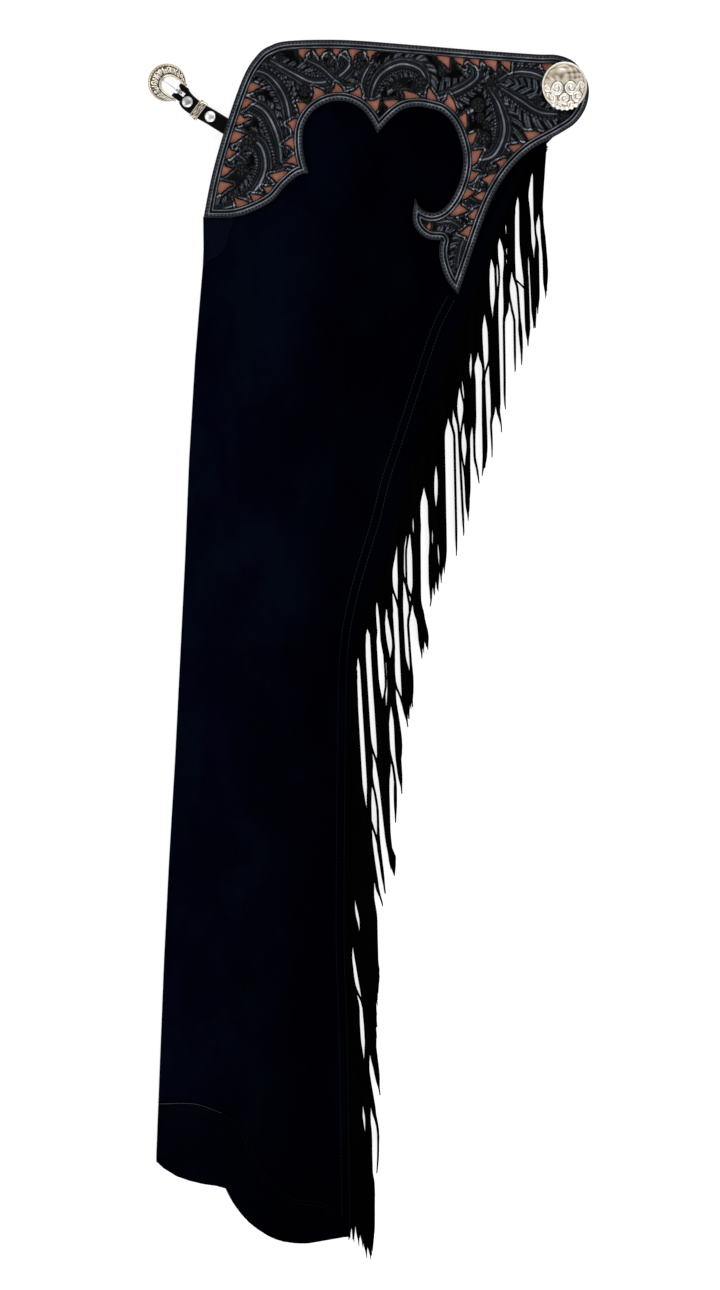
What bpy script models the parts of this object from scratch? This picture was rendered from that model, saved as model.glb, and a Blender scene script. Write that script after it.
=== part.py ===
"""Western show chaps, folded in half and laid flat, one leg on top of the other.

Metres, +Z up. The waist is at +Y, the front of the leg at -X, the fringe at +X,
and the hidden leg rests on Z = 0. Tables and sizes are in millimetres.
"""
import math

import bmesh
import bpy
import numpy as np
from mathutils import Matrix, Vector

MM = 0.001
GAP = 0.3

# Heights of the layers above the surface that the chaps lie on
SUEDE = 1.5
FAR_LAYER_BOTTOM = 6.7
NEAR_LAYER_BOTTOM = 8.8
NEAR_LAYER_TOP = NEAR_LAYER_BOTTOM + SUEDE
FLAP_BOTTOM = 7.0
FLAP_TOP = 8.5
TRIM_BOTTOM = NEAR_LAYER_TOP + GAP
TRIM_TOP = TRIM_BOTTOM + 1.2
INLAY_TOP = TRIM_BOTTOM + 1.4
OVERLAY_BOTTOM = INLAY_TOP + GAP
OVERLAY_TOP = OVERLAY_BOTTOM + 2.3
BORDER_LIP = 0.7
CONCHO_BOTTOM = OVERLAY_TOP + BORDER_LIP + GAP

# Yoke outline, clockwise seen from above, as smooth stretches between its corners
YOKE_FRONT_TO_SPEAR = [
    (-134.9, 355.1), (-127.9, 390.3), (-117.3, 428.0), (-102.5, 469.9), (-91.0, 488.3),
    (-80.4, 496.1), (-64.0, 499.5), (-20.5, 500.0), (32.0, 495.6), (84.3, 490.9),
    (136.5, 488.3), (155.0, 487.8), (168.1, 483.0), (177.1, 472.6), (181.1, 460.8),
    (178.9, 446.5), (170.6, 433.4), (157.4, 424.3), (134.0, 411.1), (118.1, 396.1),
    (105.8, 378.0), (95.1, 354.2), (82.8, 318.3), (73.8, 291.9),
]
YOKE_SPEAR_TO_NOTCH = [(73.8, 291.9), (64.4, 304.2), (59.4, 318.2), (58.2, 328.8), (59.5, 336.6)]
YOKE_NOTCH_TO_SPUR = [(59.5, 336.6), (49.2, 337.8), (41.0, 343.6), (36.5, 353.8), (38.5, 371.9)]
YOKE_BACK_ARCH = [
    (38.5, 371.9), (43.5, 362.8), (52.5, 359.2), (62.3, 363.3), (71.3, 375.6), (77.1, 392.8),
    (77.5, 409.2), (71.3, 428.9), (61.5, 440.6), (51.1, 444.6), (39.6, 446.3), (28.7, 444.0),
    (18.9, 436.6), (7.6, 424.2),
]
YOKE_FRONT_ARCH = [
    (7.6, 424.2), (2.5, 434.2), (-4.9, 443.6), (-14.8, 449.4), (-25.4, 451.0), (-36.1, 448.3),
    (-45.5, 441.7), (-52.0, 430.9), (-53.6, 419.0), (-52.1, 405.1), (-48.4, 391.7),
]
YOKE_FOOT = [
    (-48.4, 391.7), (-56.9, 389.9), (-67.2, 381.3), (-77.9, 369.4), (-93.5, 360.8),
    (-110.7, 355.6), (-134.9, 355.1),
]
YOKE_BELOW_TAB = YOKE_FRONT_TO_SPEAR[-6:]
YOKE_STRETCHES = {
    "outer": YOKE_FRONT_TO_SPEAR,
    "spear": YOKE_SPEAR_TO_NOTCH,
    "spur": YOKE_NOTCH_TO_SPUR,
    "back_arch": YOKE_BACK_ARCH,
    "front_arch": YOKE_FRONT_ARCH,
    "foot": YOKE_FOOT,
}
BORDER_WIDTH = 7.4
LIP_FROM_EDGE = (0.7, 6.6)
INLAY_INSET = 1.2

# Cut-through gaps between leaf tips along the border: the stretch, where the row starts and
# ends along it, how many, the length of one gap, its depth, and how far its tip leans
GAP_ROWS = [
    ("outer", 0.030, 0.190, 7, 9.0, 8.0, 0.9),
    ("outer", 0.275, 0.385, 5, 9.5, 6.8, -0.5),
    ("outer", 0.455, 0.555, 5, 9.5, 6.8, 0.9),
    ("outer", 0.590, 0.645, 3, 8.6, 6.4, -0.4),
    ("outer", 0.765, 0.930, 7, 9.0, 6.6, 0.9),
    ("spur", 0.20, 0.42, 1, 6.5, 5.5, 0.9),
    ("back_arch", 0.16, 0.90, 10, 8.4, 7.0, 0.9),
    ("front_arch", 0.12, 0.95, 8, 8.6, 7.2, -0.3),
    ("foot", 0.12, 0.72, 4, 9.5, 6.5, 0.9),
]

# The leg: left fold, near layer's edge under the yoke, outer seam, and hems
LEFT_FOLD = [
    (346.9, -135.3), (327.2, -134.5), (279.6, -138.6), (238.6, -141.9), (156.6, -146.8),
    (74.6, -150.1), (-7.4, -154.2), (-89.4, -158.3), (-171.4, -163.2), (-253.4, -167.3),
    (-335.4, -170.6), (-417.4, -173.8),
]
NEAR_FRONT_EDGE = [
    (486.3, -70.5), (472.3, -83.6), (451.8, -95.1), (427.2, -104.1), (402.6, -112.3),
    (378.0, -119.7), (357.5, -128.7), (346.9, -135.3),
]
SEAM = [
    (289.5, 68.1), (266.5, 56.6), (238.6, 46.7), (198.4, 33.6), (168.9, 23.8), (138.6, 13.9),
    (108.2, 6.6), (78.7, -2.5), (53.3, -9.8), (32.8, -14.8), (8.2, -18.9), (-40.2, -21.3),
    (-228.8, -23.0), (-310.8, -21.5), (-478.9, -18.0),
]
NEAR_BACK_EDGE = [
    (486.3, 104.0), (460.0, 104.0), (435.4, 101.0), (402.6, 95.0), (369.8, 88.6),
    (328.8, 79.5), (289.5, 72.1),
]
NEAR_HEM = [
    (-173.8, -417.4), (-168.1, -414.9), (-151.7, -408.4), (-139.4, -411.6), (-129.6, -419.0),
    (-121.4, -430.5), (-110.7, -451.0), (-97.6, -467.4), (-82.0, -478.1), (-68.9, -483.0),
    (-50.0, -484.6), (-18.0, -478.9),
]
FAR_HEM = [
    (-173.8, -417.4), (-168.1, -422.3), (-155.0, -430.5), (-139.4, -435.4), (-118.1, -438.7),
    (-64.0, -462.5), (-18.0, -478.9),
]
LEG_ROWS = [
    486.0, 452.0, 415.0, 380.0, 347.0, 319.0, 288.0, 247.0, 198.0, 148.0, 99.0, 50.0, 1.0,
    -48.0, -97.0, -140.0, -172.0, -198.0, -224.0, -250.0, -276.0, -304.0, -335.0, -368.0,
]
CROTCH_ROW = 5
HEM_STEPS = 3
NEAR_TO_SEAM = 1.8
FAR_TO_SEAM = -8.0
FLAP_TO_SEAM = -3.0
HIDDEN_LEG_TO_ROOT = 0.2
HEM_BAND_ENDS = (-172.9, -18.6)
HEM_BAND_RISE = 0.4

# Soft ridges in the near layer: centre x and y, length, width, direction in degrees, height
LEG_FOLDS = [
    (-131.0, -245.0, 80.0, 15.0, 72.0, 1.0),
    (-78.0, -168.0, 95.0, 16.0, 6.0, 0.9),
    (-60.0, 60.0, 190.0, 34.0, 82.0, 0.8),
    (-95.0, 205.0, 120.0, 30.0, 60.0, 0.7),
    (-70.0, -320.0, 110.0, 24.0, 20.0, 0.7),
]

# Trim sewn on the near layer: upper edge of the hem band, and the lit corner facing
BAND_TOP = [
    (-171.4, -371.5), (-142.7, -371.5), (-123.0, -378.0), (-107.4, -384.6), (-97.6, -396.9),
    (-91.0, -413.3), (-82.0, -428.9), (-68.9, -442.0), (-59.0, -447.7), (-36.9, -451.0),
    (-24.6, -460.8), (-18.6, -467.4),
]
FRONT_FACING = [
    (-133.6, 353.6), (-109.4, 353.9), (-114.0, 341.1), (-119.7, 327.2), (-131.5, 319.0),
    (-133.6, 312.4),
]

# Where the strands leave their strip, from under the yoke's tab down to the calf
FRINGE_ROOT = [
    (146.8, 414.1), (132.8, 398.5), (118.1, 371.5), (104.1, 337.0), (93.5, 312.4),
    (83.6, 286.2), (71.3, 255.0), (56.6, 209.9), (42.6, 173.0), (28.7, 123.8), (13.9, 74.6),
    (0.0, 33.6), (-12.3, -7.4), (-15.6, -56.6), (-16.8, -122.2), (-17.2, -228.0),
    (-17.2, -346.0),
]
# The flap's lower end, and its free corner under the yoke
FLAP_END_Y = -470.0
FLAP_END_X = (-22.4, -17.0)
FLAP_TOP_CORNER = [(80.0, 318.0), (100.0, 352.0), (122.0, 387.0), (138.0, 407.0)]

# The leg underneath: its lower edge, the side profile of its layered edge as height and inset,
# and the folded pad of it that carries the yoke's tab
HIDDEN_HEM = [
    (-18.0, -470.0), (-20.0, -478.5), (-50.0, -484.6), (-68.9, -483.0), (-82.0, -478.1),
    (-97.6, -467.4), (-110.7, -451.0), (-118.1, -440.5), (-139.4, -435.4), (-155.0, -430.5),
    (-168.1, -422.3),
]
HIDDEN_EDGE = [(0.0, 2.9), (0.8, 2.0), (2.6, 2.0), (3.1, 3.2), (3.6, 2.0), (5.6, 2.0), (6.4, 2.9)]
TAB_PAD = [
    (112.3, 482.5), (154.0, 482.5), (168.0, 476.4), (175.8, 461.7), (172.2, 448.5),
    (162.4, 438.7), (145.1, 428.9), (131.2, 423.1), (116.0, 417.0),
]
TAB_PAD_EDGE = [(3.0, 1.0), (8.0, 0.0), (8.4, 0.8), (8.8, 0.0), (9.8, 0.0), (NEAR_LAYER_TOP, 0.6)]

STRIP_HALF_WIDTH = 1.2
STRAND_WIDTH = 4.8
STRAND_THICKNESS = 1.0
STRAND_LENGTH = 150.0
STRAND_PITCH = 9.2
HIDDEN_STRAND_PITCH = 23.0
ROOT_BEND_RADIUS = 0.6
ROOT_BEND_REACH = 1.7
TIP_POINTS = [(1.6, 0.0), (3.4, -2.5)]
LEVEL_STEP = STRAND_THICKNESS + GAP
HIDDEN_FRINGE_LEVELS = 2
FRINGE_LEVELS = 5
LOWEST_STRAND = 0.4
HIDDEN_STRIP = (0.3, 2.8)
STRIP = (3.1, 9.0)
# How far the hanging strands lean outward, in degrees, by height
STRAND_LEAN = [
    (-500.0, 7.2), (-185.0, 7.2), (-60.0, 7.9), (-10.0, 7.9), (55.0, 3.0), (414.0, 0.6),
]
# Share of that lean which a strand keeps, by the height of its root: the last ones hang plumb
LEAN_KEPT = [
    (-343.0, 0.05), (-332.0, 0.25), (-322.0, 0.50), (-312.0, 0.75), (-303.0, 0.97),
    (-290.0, 1.0),
]
# How many neighbouring strands hang together in each clump, from the top down
CLUMP_SIZES = [3, 2, 4, 3, 2, 3, 4, 3, 6, 5, 7, 6, 7, 5, 6]

CONCHO_CENTRE = (161.1, 463.3)
CONCHO_RADII = (18.4, 19.6)
CONCHO_HEIGHT = 4.2
# Turned profile as shares of radius and height, and the bead-like edge below it
CONCHO_PROFILE = [
    (0.55, 0.0), (0.96, 0.0), (1.0, 0.12), (1.0, 0.34), (0.92, 0.56), (0.86, 0.50), (0.60, 0.84),
    (0.30, 0.97),
]
CONCHO_SIDES = 36
BEADS_ROUND = 18
BEAD_SWELL = 0.03
BEADS_BELOW = 0.62

# Buckle strap: its bar end, where it points, how it climbs to the yoke, and its own sizes
BUCKLE_BAR = (-154.8, 458.8)
STRAP_HEADING = -36.4
STRAP_CLIMB = 5.7
STRAP_THICKNESS = 3.0
STRAP_LOOP_RADIUS = 3.3
BAR_HEIGHT = STRAP_LOOP_RADIUS + GAP
# Middle line of the strap: distance from the bar, sideways place, and half its width there
STRAP_CENTRE = [
    (0.0, 0.0, 6.6), (4.0, -0.4, 6.7), (10.6, -2.6, 7.0), (20.8, -2.9, 6.7), (33.0, -1.5, 6.6),
    (51.8, 0.0, 6.6),
]
BAR_RADIUS = 1.3
PIVOT_CLEARANCE = 0.3
TONGUE_SLOT_WIDTH = 3.2
TONGUE_SLOT_END = 5.5
THROUGH = 12.0
SNAP_PLACES = {"snap_front": (10.6, -2.8), "snap_back": (33.0, -1.5)}
SNAP_RADIUS = 4.5
SNAP_HEIGHT = 1.7
SNAP_PROFILE = [(0.0, 1.0), (0.45, 0.96), (0.80, 0.72), (1.0, 0.42), (1.0, 0.0), (0.0, 0.0)]
SNAP_SIDES = 24
KEEPER_PLACE = (21.8, -2.8)
KEEPER_LENGTH = 6.6
KEEPER_WALL = 1.1
KEEPER_WIDTH = 17.0
KEEPER_SQUARENESS = 0.42

# Buckle frame, measured from the bar away from the strap
RING_CENTRE = 12.7
RING_RADIUS = 15.6
OPENING_CENTRE = 9.6
OPENING_RADIUS = 7.0
CHEEK_INNER = 7.3
RING_DROOP = 4.0
CHEEK_END = -2.0
# Section of the frame: share of the way from inner to outer edge, and height
RING_SECTION = [(0.0, -1.3), (1.0, -1.3), (1.0, 0.6), (0.62, 2.2), (0.25, 1.8), (0.0, 0.9)]
CHEEK_TOP = 1.2
# The tongue's blade: distance from the bar, underside, half width and top
TONGUE_BLADE = [
    (1.2, -0.9, 0.9, 1.9), (4.0, 0.2, 0.9, 1.9), (9.0, 1.1, 0.85, 2.6), (15.0, 1.6, 0.85, 3.0),
    (17.6, 2.0, 0.8, 3.1), (19.4, 2.3, 0.5, 3.0),
]
TONGUE_EYE_WALL = 1.2
TONGUE_EYE_HALF_WIDTH = 1.0


def start_scene():
    for old in list(bpy.context.scene.objects):
        bpy.data.objects.remove(old, do_unlink=True)
    parts = bpy.data.collections.new("Chaps")
    cutters = bpy.data.collections.new("Cutters")
    bpy.context.scene.collection.children.link(parts)
    bpy.context.scene.collection.children.link(cutters)
    return parts, cutters


PARTS, CUTTERS = start_scene()


def material(name, colour, roughness, metallic=0.0):
    made = bpy.data.materials.new(name)
    made.use_nodes = True
    shader = made.node_tree.nodes["Principled BSDF"]
    shader.inputs["Base Color"].default_value = (*colour, 1.0)
    shader.inputs["Roughness"].default_value = roughness
    shader.inputs["Metallic"].default_value = metallic
    made.diffuse_color = (*colour, 1.0)
    return made


SUEDE_BLACK = material("suede_black", (0.004, 0.005, 0.012), 0.95)
SUEDE_EDGE = material("suede_trim", (0.010, 0.012, 0.024), 0.85)
TOOLED_BLACK = material("tooled_black_leather", (0.020, 0.022, 0.028), 0.42)
BROWN_INLAY = material("brown_inlay_leather", (0.20, 0.075, 0.045), 0.6)
SILVER = material("engraved_silver", (0.72, 0.68, 0.60), 0.28, 1.0)
STEEL = material("plated_steel", (0.62, 0.62, 0.61), 0.25, 1.0)


def add_object(name, mesh, finish, collection=None):
    made = bpy.data.objects.new(name, mesh)
    (collection or PARTS).objects.link(made)
    if finish:
        mesh.materials.clear()
        mesh.materials.append(finish)
    return made


def add_cutter(name, mesh):
    made = add_object(name, mesh, None, CUTTERS)
    made.hide_render = True
    made.display_type = "WIRE"
    return made


def mesh_from(name, points, faces):
    mesh = bpy.data.meshes.new(name)
    mesh.from_pydata([[c * MM for c in p] for p in points], [], faces)
    mesh.update()
    return mesh


def boolean(target, other, operation):
    step = target.modifiers.new(operation.lower() + "_" + other.name, "BOOLEAN")
    step.operation = operation
    step.object = other
    step.solver = "EXACT"


def smooth(points, steps):
    """Points along a Catmull-Rom curve through an open row of points."""
    p = np.array(points, float)
    ends = np.vstack([2 * p[0] - p[1], p, 2 * p[-1] - p[-2]])
    found = []
    for i in range(len(p) - 1):
        a, b, c, d = ends[i:i + 4]
        for k in range(steps):
            t = k / steps
            found.append(0.5 * (2 * b + (c - a) * t + (2 * a - 5 * b + 4 * c - d) * t ** 2
                                + (3 * b - a - 3 * c + d) * t ** 3))
    found.append(p[-1])
    return np.array(found)


def resample(points, count):
    """Evenly spaced points along a row of points, with their unit tangents."""
    p = np.array(points, float)
    run = np.concatenate([[0], np.cumsum(np.linalg.norm(np.diff(p, axis=0), axis=1))])
    at = np.linspace(0, run[-1], count)
    even = np.column_stack([np.interp(at, run, p[:, k]) for k in (0, 1)])
    tangent = np.gradient(even, axis=0)
    return even, tangent / np.linalg.norm(tangent, axis=1, keepdims=True), run[-1]


def table(rows, at):
    """Value at a height from rows of (height, value) in any order."""
    ordered = sorted(rows)
    return float(np.interp(at, [r[0] for r in ordered], [r[1] for r in ordered]))


def inset(outline, distance):
    """A closed clockwise outline moved inward, without the points that come too near an edge."""
    p = np.array(outline, float)
    ahead = np.roll(p, -1, axis=0) - p
    behind = p - np.roll(p, 1, axis=0)
    normals = []
    for edge in (behind, ahead):
        unit = edge / np.linalg.norm(edge, axis=1, keepdims=True)
        normals.append(np.column_stack([unit[:, 1], -unit[:, 0]]))
    half = normals[0] + normals[1]
    half /= np.linalg.norm(half, axis=1, keepdims=True)
    reach = distance / np.clip((half * normals[0]).sum(axis=1), 0.45, 1.0)
    moved = p + half * reach[:, None]
    kept = []
    for point in moved:
        along = ((point - p) * ahead).sum(axis=1) / (ahead ** 2).sum(axis=1)
        nearest = p + ahead * np.clip(along, 0, 1)[:, None]
        if np.linalg.norm(nearest - point, axis=1).min() > distance * 0.97:
            kept.append(point)
    return np.array(kept)


def plate(name, outlines, bottom, top, finish, collection=None):
    """A flat piece from closed outlines, made as a filled curve and then a closed mesh."""
    curve = bpy.data.curves.new(name, "CURVE")
    curve.dimensions = "2D"
    curve.fill_mode = "BOTH"
    curve.extrude = (top - bottom) / 2 * MM
    for outline in outlines:
        spline = curve.splines.new("POLY")
        spline.points.add(len(outline) - 1)
        for point, (x, y) in zip(spline.points, outline):
            point.co = (x * MM, y * MM, 0, 1)
        spline.use_cyclic_u = True
    drawn = bpy.data.objects.new(name + "_curve", curve)
    CUTTERS.objects.link(drawn)
    drawn.location.z = (top + bottom) / 2 * MM
    bpy.context.view_layer.update()
    evaluated = drawn.evaluated_get(bpy.context.evaluated_depsgraph_get())
    mesh = bpy.data.meshes.new_from_object(evaluated)
    mesh.transform(drawn.matrix_world)
    bpy.data.objects.remove(drawn, do_unlink=True)
    weld(mesh)
    if collection is CUTTERS:
        return add_cutter(name, mesh)
    return add_object(name, mesh, finish)


def weld(mesh):
    edit = bmesh.new()
    edit.from_mesh(mesh)
    bmesh.ops.remove_doubles(edit, verts=edit.verts, dist=0.00001)
    bmesh.ops.recalc_face_normals(edit, faces=edit.faces)
    edit.to_mesh(mesh)
    edit.free()


def loft(name, rings, finish, collection=None):
    """A closed solid through rings of equal count, with a flat face on each end."""
    count = len(rings[0])
    points = [p for ring in rings for p in ring]
    faces = [list(range(count))[::-1], [len(points) - count + i for i in range(count)]]
    for r in range(len(rings) - 1):
        for i in range(count):
            j = (i + 1) % count
            faces.append((r * count + i, r * count + j, (r + 1) * count + j, (r + 1) * count + i))
    mesh = mesh_from(name, points, faces)
    weld(mesh)
    if collection is CUTTERS:
        return add_cutter(name, mesh)
    return add_object(name, mesh, finish)


def yoke_outline(steps):
    """The whole yoke, clockwise seen from above."""
    rows = [smooth(points, steps)[:-1] for points in YOKE_STRETCHES.values()]
    return np.vstack(rows)


def gap_outlines():
    """Leaf-tip gaps set along the inner side of the yoke's border."""
    found = []
    for stretch, start, end, count, length, depth, lean in GAP_ROWS:
        line, tangent, run = resample(smooth(YOKE_STRETCHES[stretch], 8), 400)
        inward = np.column_stack([tangent[:, 1], -tangent[:, 0]])
        for k in range(count):
            middle = (start + (end - start) * (k + 0.5) / count) * run
            size = length * (1.0 + 0.13 * math.sin(2.4 * k + 1))
            tall = depth * (1.0 + 0.16 * math.cos(1.9 * k))
            shape = [
                (-0.50, 0.0), (0.0, 0.0), (0.50, 0.0), (0.40 + 0.42 * lean, 0.48),
                (0.12 + 0.62 * lean, 1.0), (-0.26 + 0.30 * lean, 0.60),
            ]
            outline = []
            for along, away in shape:
                at = np.clip((middle + along * size) / run * (len(line) - 1), 0, len(line) - 1)
                i = int(round(at))
                outline.append(line[i] + inward[i] * (BORDER_WIDTH + 0.3 + away * tall))
            found.append(np.array(outline))
    return found


def make_yoke():
    """The brown inlay leather, and the tooled leather that is cut through over it."""
    outline = yoke_outline(2)
    plate("yoke_inlay", [inset(outline, INLAY_INSET)], TRIM_BOTTOM, INLAY_TOP, BROWN_INLAY)
    outlines = [outline] + gap_outlines()
    overlay = plate("yoke_overlay", outlines, OVERLAY_BOTTOM, OVERLAY_TOP, TOOLED_BLACK)
    lip_outlines = [inset(outline, LIP_FROM_EDGE[0]), inset(outline, LIP_FROM_EDGE[1])]
    lip_bottom = (OVERLAY_BOTTOM + OVERLAY_TOP) / 2
    lip = plate("border_lip", lip_outlines, lip_bottom, OVERLAY_TOP + BORDER_LIP, None, CUTTERS)
    boolean(overlay, lip, "UNION")


def fold_height(x, y):
    """How far the soft ridges lift the near layer at a point."""
    height = 0.0
    for cx, cy, length, width, turn, lift in LEG_FOLDS:
        a = math.radians(turn)
        along = (x - cx) * math.cos(a) + (y - cy) * math.sin(a)
        across = -(x - cx) * math.sin(a) + (y - cy) * math.cos(a)
        height += lift * math.exp(-(2 * along / length) ** 2 - (2 * across / width) ** 2)
    return height


def hem_at(rows, x):
    return float(np.interp(x, [r[0] for r in rows], [r[1] for r in rows]))


def leg_columns():
    """Columns round the leg from the far seam edge to the near one: layer, place and height."""
    columns = []
    for f in (1.0, 0.84, 0.66, 0.48, 0.30, 0.14, 0.04):
        columns.append(("far", f, 0.0))
    for angle in (-90, -45, 0, 45, 90):
        columns.append(("fold", 0.0, angle))
    for f in (0.04, 0.10, 0.19, 0.29, 0.39, 0.49, 0.59, 0.69, 0.79, 0.89, 0.96, 1.0):
        columns.append(("near", f, 0.0))
    return columns


def leg_point(kind, f, angle, row, step):
    """One point on the middle of the suede, from its column and its row."""
    far_middle = FAR_LAYER_BOTTOM + SUEDE / 2
    near_middle = NEAR_LAYER_BOTTOM + SUEDE / 2
    radius = (near_middle - far_middle) / 2
    y = LEG_ROWS[row] if step == 0 else LEG_ROWS[-1]
    edge_rows = LEFT_FOLD if y < NEAR_FRONT_EDGE[-1][0] else NEAR_FRONT_EDGE
    seam_rows = SEAM if y < SEAM[0][0] else [(h, x - NEAR_TO_SEAM) for h, x in NEAR_BACK_EDGE]
    reach = FAR_TO_SEAM if kind == "far" else NEAR_TO_SEAM

    def place(height):
        left = table(edge_rows, height) + SUEDE / 2 + radius
        right = table(seam_rows, height) + reach
        return left + (right - left) * f

    x = place(y)
    if step:
        hems = {"far": FAR_HEM, "near": NEAR_HEM}
        hem = hem_at(hems.get(kind, NEAR_HEM), place(-440.0))
        y += (hem - y) * step / HEM_STEPS
        x = place(y)
    z = near_middle if kind == "near" else far_middle
    if kind == "fold":
        a = math.radians(angle)
        return (x - radius * math.cos(a), y, (near_middle + far_middle) / 2 + radius * math.sin(a))
    if kind == "near" and 0.05 < f < 0.93:
        z += fold_height(x, y)
    return (x, y, z)


def make_leg():
    """The suede leg: far layer, fold and near layer in one wall, open at the seam, top and hem."""
    columns = leg_columns()
    rows = [(r, 0) for r in range(len(LEG_ROWS))] + [(0, s) for s in range(1, HEM_STEPS + 1)]
    points = [leg_point(*column, *row) for row in rows for column in columns]
    faces = []
    for r in range(len(rows) - 1):
        for c in range(len(columns) - 1):
            if r < CROTCH_ROW and columns[c][0] != "near":
                continue
            a = r * len(columns) + c
            faces.append((a, a + 1, a + 1 + len(columns), a + len(columns)))
    used = sorted({i for face in faces for i in face})
    renumber = {old: new for new, old in enumerate(used)}
    mesh = mesh_from("leg_panel", [points[i] for i in used],
                     [[renumber[i] for i in face] for face in faces])
    leg = add_object("leg_panel", mesh, SUEDE_BLACK)
    wall = leg.modifiers.new("wall", "SOLIDIFY")
    wall.thickness = SUEDE * MM
    wall.offset = 0.0


def beside_root(outward):
    """The fringe's root line, moved outward by a distance."""
    line = smooth(FRINGE_ROOT, 2)
    tangent = np.gradient(line, axis=0)
    tangent /= np.linalg.norm(tangent, axis=1, keepdims=True)
    return line + np.column_stack([-tangent[:, 1], tangent[:, 0]]) * outward


def make_leg_trim():
    """The hem band, the corner facing and the flap that closes over the outer seam."""
    hem = []
    for x, y in smooth(NEAR_HEM, 2)[::-1]:
        x = min(max(x, HEM_BAND_ENDS[0]), HEM_BAND_ENDS[1])
        hem.append((x, y + HEM_BAND_RISE))
    band = np.vstack([smooth(BAND_TOP, 2), hem])
    plate("hem_band", [band], TRIM_BOTTOM, TRIM_TOP, SUEDE_EDGE)
    plate("front_facing", [FRONT_FACING], TRIM_BOTTOM, TRIM_TOP, SUEDE_EDGE)
    right = [tuple(point) for point in beside_root(-STRIP_HALF_WIDTH - GAP)]
    right.append((FLAP_END_X[1], FLAP_END_Y))
    left = [(FLAP_END_X[0], FLAP_END_Y)]
    left += [(x + FLAP_TO_SEAM, y) for y, x in SEAM[::-1] if y > FLAP_END_Y]
    plate("seam_flap", [right + left + FLAP_TOP_CORNER], FLAP_BOTTOM, FLAP_TOP, SUEDE_BLACK)


def hidden_outline():
    """Outline of the leg below, before it is drawn in under the visible one."""
    outer = [point for point in YOKE_FRONT_TO_SPEAR if point not in YOKE_BELOW_TAB]
    root = beside_root(HIDDEN_LEG_TO_ROOT)
    fold = [(x, y) for y, x in LEFT_FOLD[::-1]]
    return np.vstack([outer, root, HIDDEN_HEM, fold])


def rings_from(outline, edge):
    """Rings of one outline, drawn in by the inset that goes with each height."""
    return [[(x, y, z) for x, y in simple_inset(outline, distance)] for z, distance in edge]


def make_hidden_leg():
    """The leg underneath as one rounded solid, with its layers showing at the edge."""
    leg = loft("hidden_leg", rings_from(hidden_outline(), HIDDEN_EDGE), SUEDE_BLACK)
    pad = loft("tab_pad", rings_from(TAB_PAD, TAB_PAD_EDGE), None, CUTTERS)
    boolean(leg, pad, "UNION")


def simple_inset(outline, distance):
    """A closed clockwise outline moved inward point by point."""
    p = np.array(outline, float)
    behind = p - np.roll(p, 1, axis=0)
    ahead = np.roll(p, -1, axis=0) - p
    sides = []
    for edge in (behind, ahead):
        unit = edge / np.linalg.norm(edge, axis=1, keepdims=True)
        sides.append(np.column_stack([unit[:, 1], -unit[:, 0]]))
    half = sides[0] + sides[1]
    half /= np.linalg.norm(half, axis=1, keepdims=True)
    reach = distance / np.clip((half * sides[0]).sum(axis=1), 0.6, 1.0)
    return p + half * reach[:, None]


def turned(vector, degrees):
    a = math.radians(degrees)
    return np.array([vector[0] * math.cos(a) - vector[1] * math.sin(a),
                     vector[0] * math.sin(a) + vector[1] * math.cos(a)])


def strand_roots(pitch):
    """Root point, direction along the root line, and outward direction of each strand."""
    line, tangent, run = resample(smooth(FRINGE_ROOT, 6), 1200)
    count = int(run / pitch)
    roots = []
    for i in range(count):
        at = int((i + 0.5) * pitch / run * (len(line) - 1))
        outward = np.array([-tangent[at][1], tangent[at][0]])
        roots.append((line[at], tangent[at], outward))
    return roots


def clump_shifts(roots, levels):
    """Sideways shift of each strand's lower part, so that strands bunch and leave gaps."""
    shifts = []
    first = 0
    turn = 0
    while first < len(roots):
        size = min(CLUMP_SIZES[min(turn, len(CLUMP_SIZES) - 1)], len(roots) - first)
        members = roots[first:first + size]
        spacing = abs(members[0][0][0] - members[-1][0][0]) / max(size - 1, 1)
        keep = max(0.42, (STRAND_WIDTH + 0.9) / (levels * max(spacing, 0.1)))
        middle = sum(m[0][0] for m in members) / size
        for k, member in enumerate(members):
            squeeze = (middle - member[0][0]) * max(0.0, 1.0 - keep)
            shifts.append(squeeze + 0.25 * math.sin(3.1 * (first + k)))
        first += size
        turn += 1
    return shifts


def lean_offset(high, low):
    """How far outward the hanging strands drift between two heights."""
    heights = np.linspace(low, high, 30)
    slopes = [math.tan(math.radians(table(STRAND_LEAN, y))) for y in heights]
    return float(np.mean(slopes)) * (high - low)


def strand_sections(root, shift, index):
    """Left and right edge of one strand at each section, from its root to its tip."""
    kept = table(LEAN_KEPT, root[0][1])
    place, along, outward = root
    half = STRAND_WIDTH / 2
    sections = [(place + along * half, place - along * half)]
    pivot = place + outward * ROOT_BEND_REACH + along * (half + ROOT_BEND_RADIUS)
    turn = math.degrees(math.acos(np.clip(-outward[1], -1, 1)))
    for part in (0.45, 1.0):
        spoke = turned(-along, -turn * part)
        sections.append((pivot + spoke * ROOT_BEND_RADIUS,
                         pivot + spoke * (ROOT_BEND_RADIUS + STRAND_WIDTH)))
    top = sections[-1][0]
    length = STRAND_LENGTH * (1.0 + 0.04 * math.sin(2.3 * index) + 0.02 * math.sin(0.7 * index))
    for part, share, narrow in ((0.42, 0.85, 1.0), (0.93, 1.0, 0.9)):
        low = top[1] - length * part
        left = np.array([top[0] + kept * lean_offset(top[1], low) + shift * share, low])
        sections.append((left, left + np.array([STRAND_WIDTH * narrow, 0.0])))
    low = top[1] - length
    tip = np.array([top[0] + kept * lean_offset(top[1], low) + shift, low])
    sections.append(tuple(tip + np.array(point) for point in TIP_POINTS))
    return sections


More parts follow.
